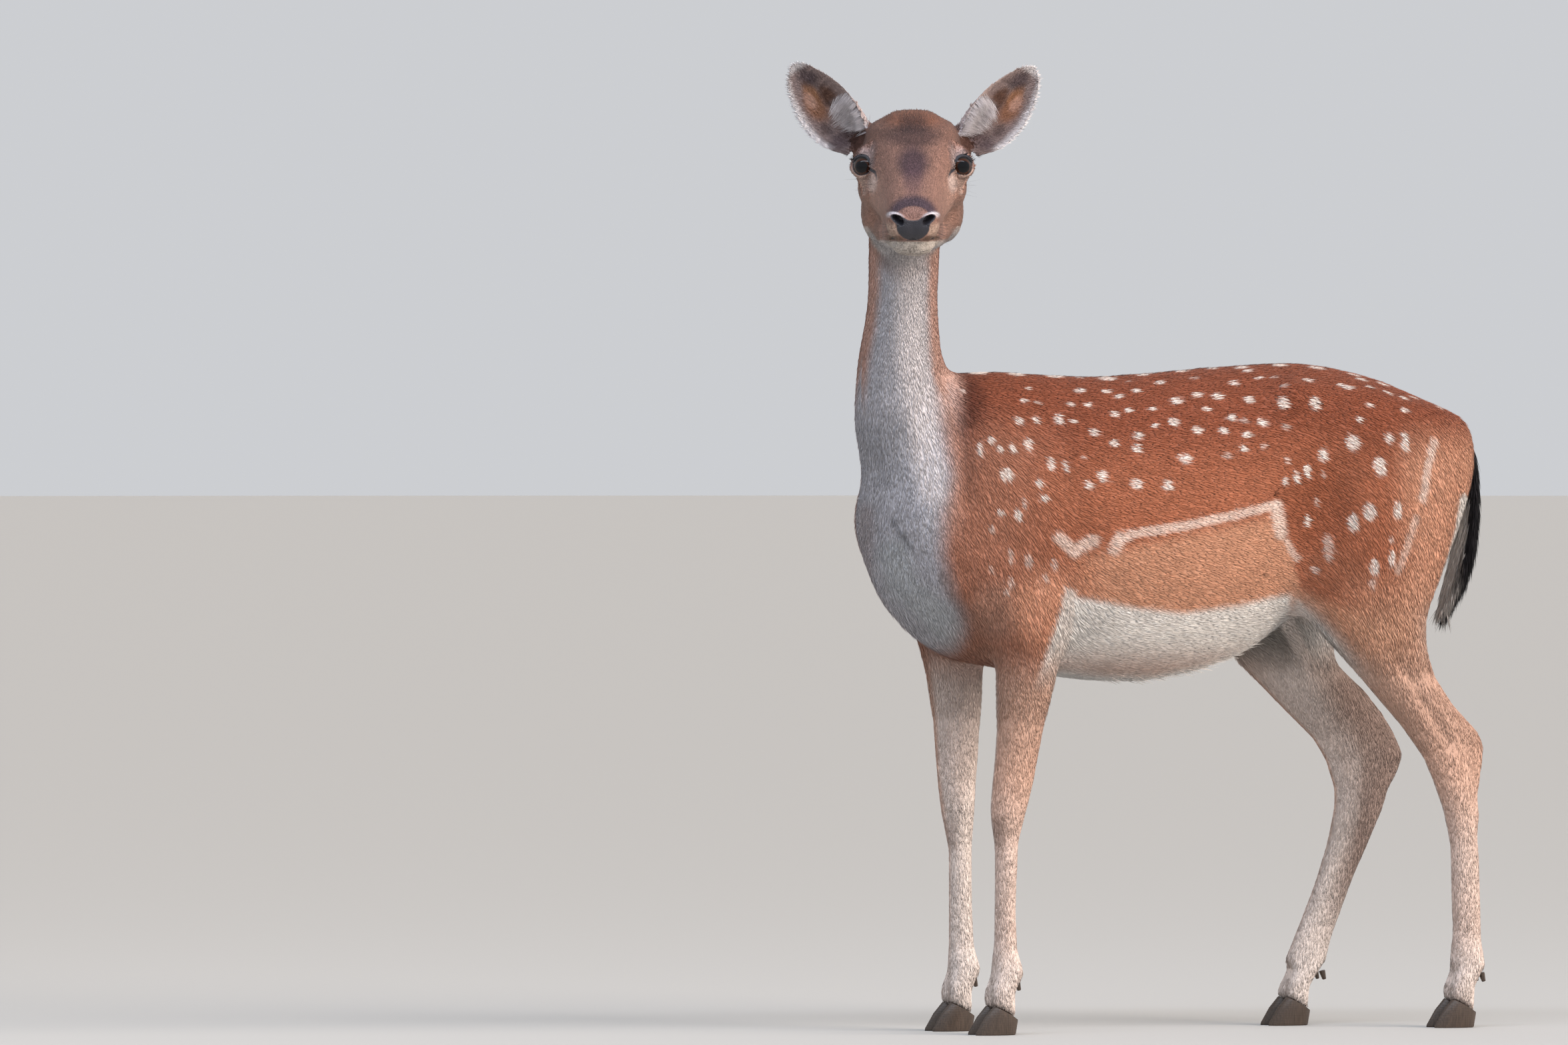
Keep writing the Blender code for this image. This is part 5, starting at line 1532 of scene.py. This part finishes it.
# the lashes
head = seenFrom(headPlace, places)
lash = np.zeros_like(places)
for side in (-1, 1):
    inside, up, along, _ = lidField(head, side)
    centre, _, forward, upward = eyeAxes(side)
    rim = (
        rise(-0.0030, -0.0022, inside) * rise(-0.0008, -0.0014, inside) * rise(0.0, 0.2, up)
        * rise(-0.05, -0.35, along)
    )
    extra["lashes"] = np.maximum(extra["lashes"], rim * (np.linalg.norm(head - centre, axis=1) < 0.024))
    near = (head[:, 1] * side > 0)[:, None]
    lash += near * (0.45 * unit(head - centre) - 0.9 * forward + 0.02 * upward)
write(mesh, "lash", "FLOAT_VECTOR", unit(lash @ np.array(headPlace.to_3x3().normalized()).T))
# the whiskers, and the fringe under the belly
mirrored = head * (1, -1, 1)
lips = [blob(half, (0.115, 0.030, -0.080), (0.022, 0.016, 0.018)) for half in (head, mirrored)]
cheeks = [0.7 * blob(half, (0.035, 0.055, -0.026), (0.014, 0.014, 0.010)) for half in (head, mirrored)]
extra["whiskers"] = np.maximum(sum(lips), sum(cheeks))
fringe = rise(0.055, 0.030, np.abs(body[:, 1])) * rise(0.49, 0.46, body[:, 2])
fringe = fringe * rise(0.14, 0.20, body[:, 0]) * rise(0.50, 0.44, body[:, 0])
extra["fringe"] = fringe * rise(0.2, -0.4, normals[:, 2]) * (parts == "trunk")
for name, many in (
    ("brush_left", 1300e3), ("brush_right", 1300e3), ("lashes", 900e3), ("whiskers", 60e3),
    ("fringe", 16e3)
):
    write(mesh, "grow_" + name, "FLOAT", extra[name] * many)
print("coat fields done")

# the unwrap that the coat's own map follows
bpy.context.view_layer.objects.active = skinPiece
skinPiece.select_set(True)
mesh.uv_layers.new(name="skinMap")
bpy.ops.object.mode_set(mode="EDIT")
bpy.ops.mesh.select_all(action="SELECT")
bpy.ops.uv.smart_project(angle_limit=math.radians(66), island_margin=0.001)
bpy.ops.object.mode_set(mode="OBJECT")
print("skin unwrapped")

tree = coatTree()
tuft = newPiece("tuftPattern", tuftMesh())
plainCoat = {"slot": "rufous_coat", "part": "trunk", "lift": 0.11, "ticked": 0.08, "vary": 0.08}
ownCoat = {
    "ear_left": {"slot": "face_coat", "part": "ear_left", "lift": 0.07},
    "ear_right": {"slot": "face_coat", "part": "ear_right", "lift": 0.07},
    "tail": {"slot": "tail_coat", "part": "tail"},
    "face": {"slot": "face_coat", "lift": 0.015, "ticked": 0.22, "vary": 0.11},
    "crown": {"slot": "face_coat", "lift": 0.16, "ticked": 0.30, "vary": 0.14},
    "fore_legs": {"slot": "leg_coat", "lift": 0.015, "ticked": 0.04, "vary": 0.05},
    "hind_legs": {"slot": "leg_coat", "lift": 0.015, "ticked": 0.04, "vary": 0.05},
}
for i, name in enumerate(regions):
    kind = {**plainCoat, **ownCoat.get(name, {})}
    lifted = {"Lift": kind["lift"], "Scatter": 0.55 * kind["lift"] + 0.03}
    shades = (kind["part"], kind["ticked"], kind["vary"])
    piece = growCoat("coat_" + name, skinPiece, tree, "grow_" + name, tuft, hair, i + 1, *shades, **lifted)
lock = newPiece("lockPattern", longHairMesh())
earBrush = {"Longer": 3.9, "Wider": 0.5, "Lift": 0.10, "Scatter": 0.20, "Way": "lieBrush"}
for i, (name, part, tint, changes) in enumerate((
    ("brush_left", "ear_left", "#EFE8EA", earBrush),
    ("brush_right", "ear_right", "#EFE8EA", earBrush),
    (
        "lashes", "trunk", "#141014",
        {"Longer": 1.3, "Wider": 0.55, "Lift": 0.0, "Scatter": 0.10, "Way": "lash"}
    ),
    ("whiskers", "trunk", "#3A3232", {"Longer": 8.0, "Wider": 0.28, "Lift": 0.9, "Scatter": 0.25}),
    ("fringe", "trunk", None, {"Longer": 1.6, "Wider": 0.8, "Lift": 0.35, "Scatter": 0.20}),
)):
    piece = growCoat(
        "coat_" + name, skinPiece, tree, "grow_" + name, lock, hair, 40 + i, part, tint=tint, **changes
    )
    if part in earForms:  # long ear hair is lit as one soft mass, facing out of the ear
        write(
            piece.data, "skinNormal", "FLOAT_VECTOR",
            np.tile(earForm(part)[2], (len(piece.data.vertices), 1))
        )
bpy.data.objects.remove(lock)
bpy.data.objects.remove(tuft)

mesh.uv_layers["skinMap"].name = "OFBake"
dropFields(mesh, ("grow_", "hair", "lie", "lash"))
mesh.materials.clear()
mesh.materials.append(hide)
mesh.shade_smooth()
skinPiece.name = "skin"
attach(skinPiece, "root")
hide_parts(*[n for n in frame["nodes"] if n not in claws and not n.startswith("eye")])
for side, word in ((-1, "right"), (1, "left")):
    makeEye(side, "eye_" + word, wet)
for node in claws:
    makeClaw(node, horn)
print("eyes and hooves done")


# floor, light and camera
def setStage():
    shape = bmesh.new()
    bmesh.ops.create_circle(shape, cap_ends=True, segments=96, radius=40)
    ground = bpy.data.meshes.new("floor")
    shape.to_mesh(ground)
    shape.free()
    floor = newPiece("floor", ground)
    pale, _, shader = startMaterial("paleFloor", 0.9)
    shader.inputs["Base Color"].default_value = (*linear("#BDBBB7"), 1)
    ground.materials.append(pale)
    world = bpy.data.worlds.new("studio")
    bpy.context.scene.world = world
    world.use_nodes = True
    world.node_tree.nodes["Background"].inputs[0].default_value = (*linear("#E4E6EA"), 1)
    world.node_tree.nodes["Background"].inputs[1].default_value = 0.78


def addLight(name, spot, wide, deep, power, hexColour):
    lamp = bpy.data.lights.new(name, "AREA")
    lamp.shape, lamp.size, lamp.size_y, lamp.energy = "RECTANGLE", wide, deep, power
    lamp.color = linear(hexColour)
    piece = bpy.data.objects.new(name, lamp)
    bpy.context.scene.collection.objects.link(piece)
    aim = headPlace.translation
    piece.matrix_world = (
        Matrix.Translation(spot) @ (aim - Vector(spot)).to_track_quat("-Z", "Y").to_matrix().to_4x4()
    )
    piece.visible_camera = False


view = {
    "azimuth": -22.0, "elevation": 1.0, "distance": 25.0, "frameWidth": 1.9608, "aim": (-0.24875, 0.6383)
}


def setCamera():
    turn, tilt = math.radians(view["azimuth"]), math.radians(view["elevation"])
    right = Vector((math.cos(turn), math.sin(turn), 0))
    back = Vector((math.sin(turn) * math.cos(tilt), -math.cos(turn) * math.cos(tilt), math.sin(tilt)))
    aim = bodyPlace @ (right * view["aim"][0] + Vector((0, 0, view["aim"][1])))
    lens = bpy.data.cameras.new("view")
    lens.sensor_fit, lens.sensor_width = "HORIZONTAL", 36
    lens.lens = 36 * view["distance"] / (view["frameWidth"] * drawnMetre)
    lens.clip_end = 200
    camera = bpy.data.objects.new("view", lens)
    bpy.context.scene.collection.objects.link(camera)
    camera.matrix_world = (
        Matrix.Translation(aim + back * view["distance"])
        @ back.to_track_quat("Z", "Y").to_matrix().to_4x4()
    )
    bpy.context.scene.camera = camera


def addSun(name, way, power, spread, hexColour):
    lamp = bpy.data.lights.new(name, "SUN")
    lamp.energy, lamp.angle, lamp.color = power, math.radians(spread), linear(hexColour)
    piece = bpy.data.objects.new(name, lamp)
    bpy.context.scene.collection.objects.link(piece)
    piece.matrix_world = Vector(way).to_track_quat("Z", "Y").to_matrix().to_4x4()
    piece.visible_glossy = False  # only the softbox shows in the wet eyes


suns = {  # way to the light, power, spread in degrees, colour
    "keyLight": ((0.85, -0.90, 0.50), 3.7, 45, "#FFF1E4"),
    "skyLight": ((-0.8, -0.9, 0.9), 0.5, 60, "#DCE8FF"),
}
softbox = {"from": (-0.65, -1.6, 3.0), "wide": 6.0, "deep": 0.5, "power": 85, "tint": "#E6EFFF"}
setStage()
for name, light in suns.items():
    addSun(name, *light)
boxPlace = headPlace.translation + Vector(softbox["from"])
addLight("softbox", boxPlace, softbox["wide"], softbox["deep"], softbox["power"], softbox["tint"])
setCamera()
bpy.context.scene.view_settings.view_transform = "Standard"
print("stage done")

bpy.context.view_layer.update()
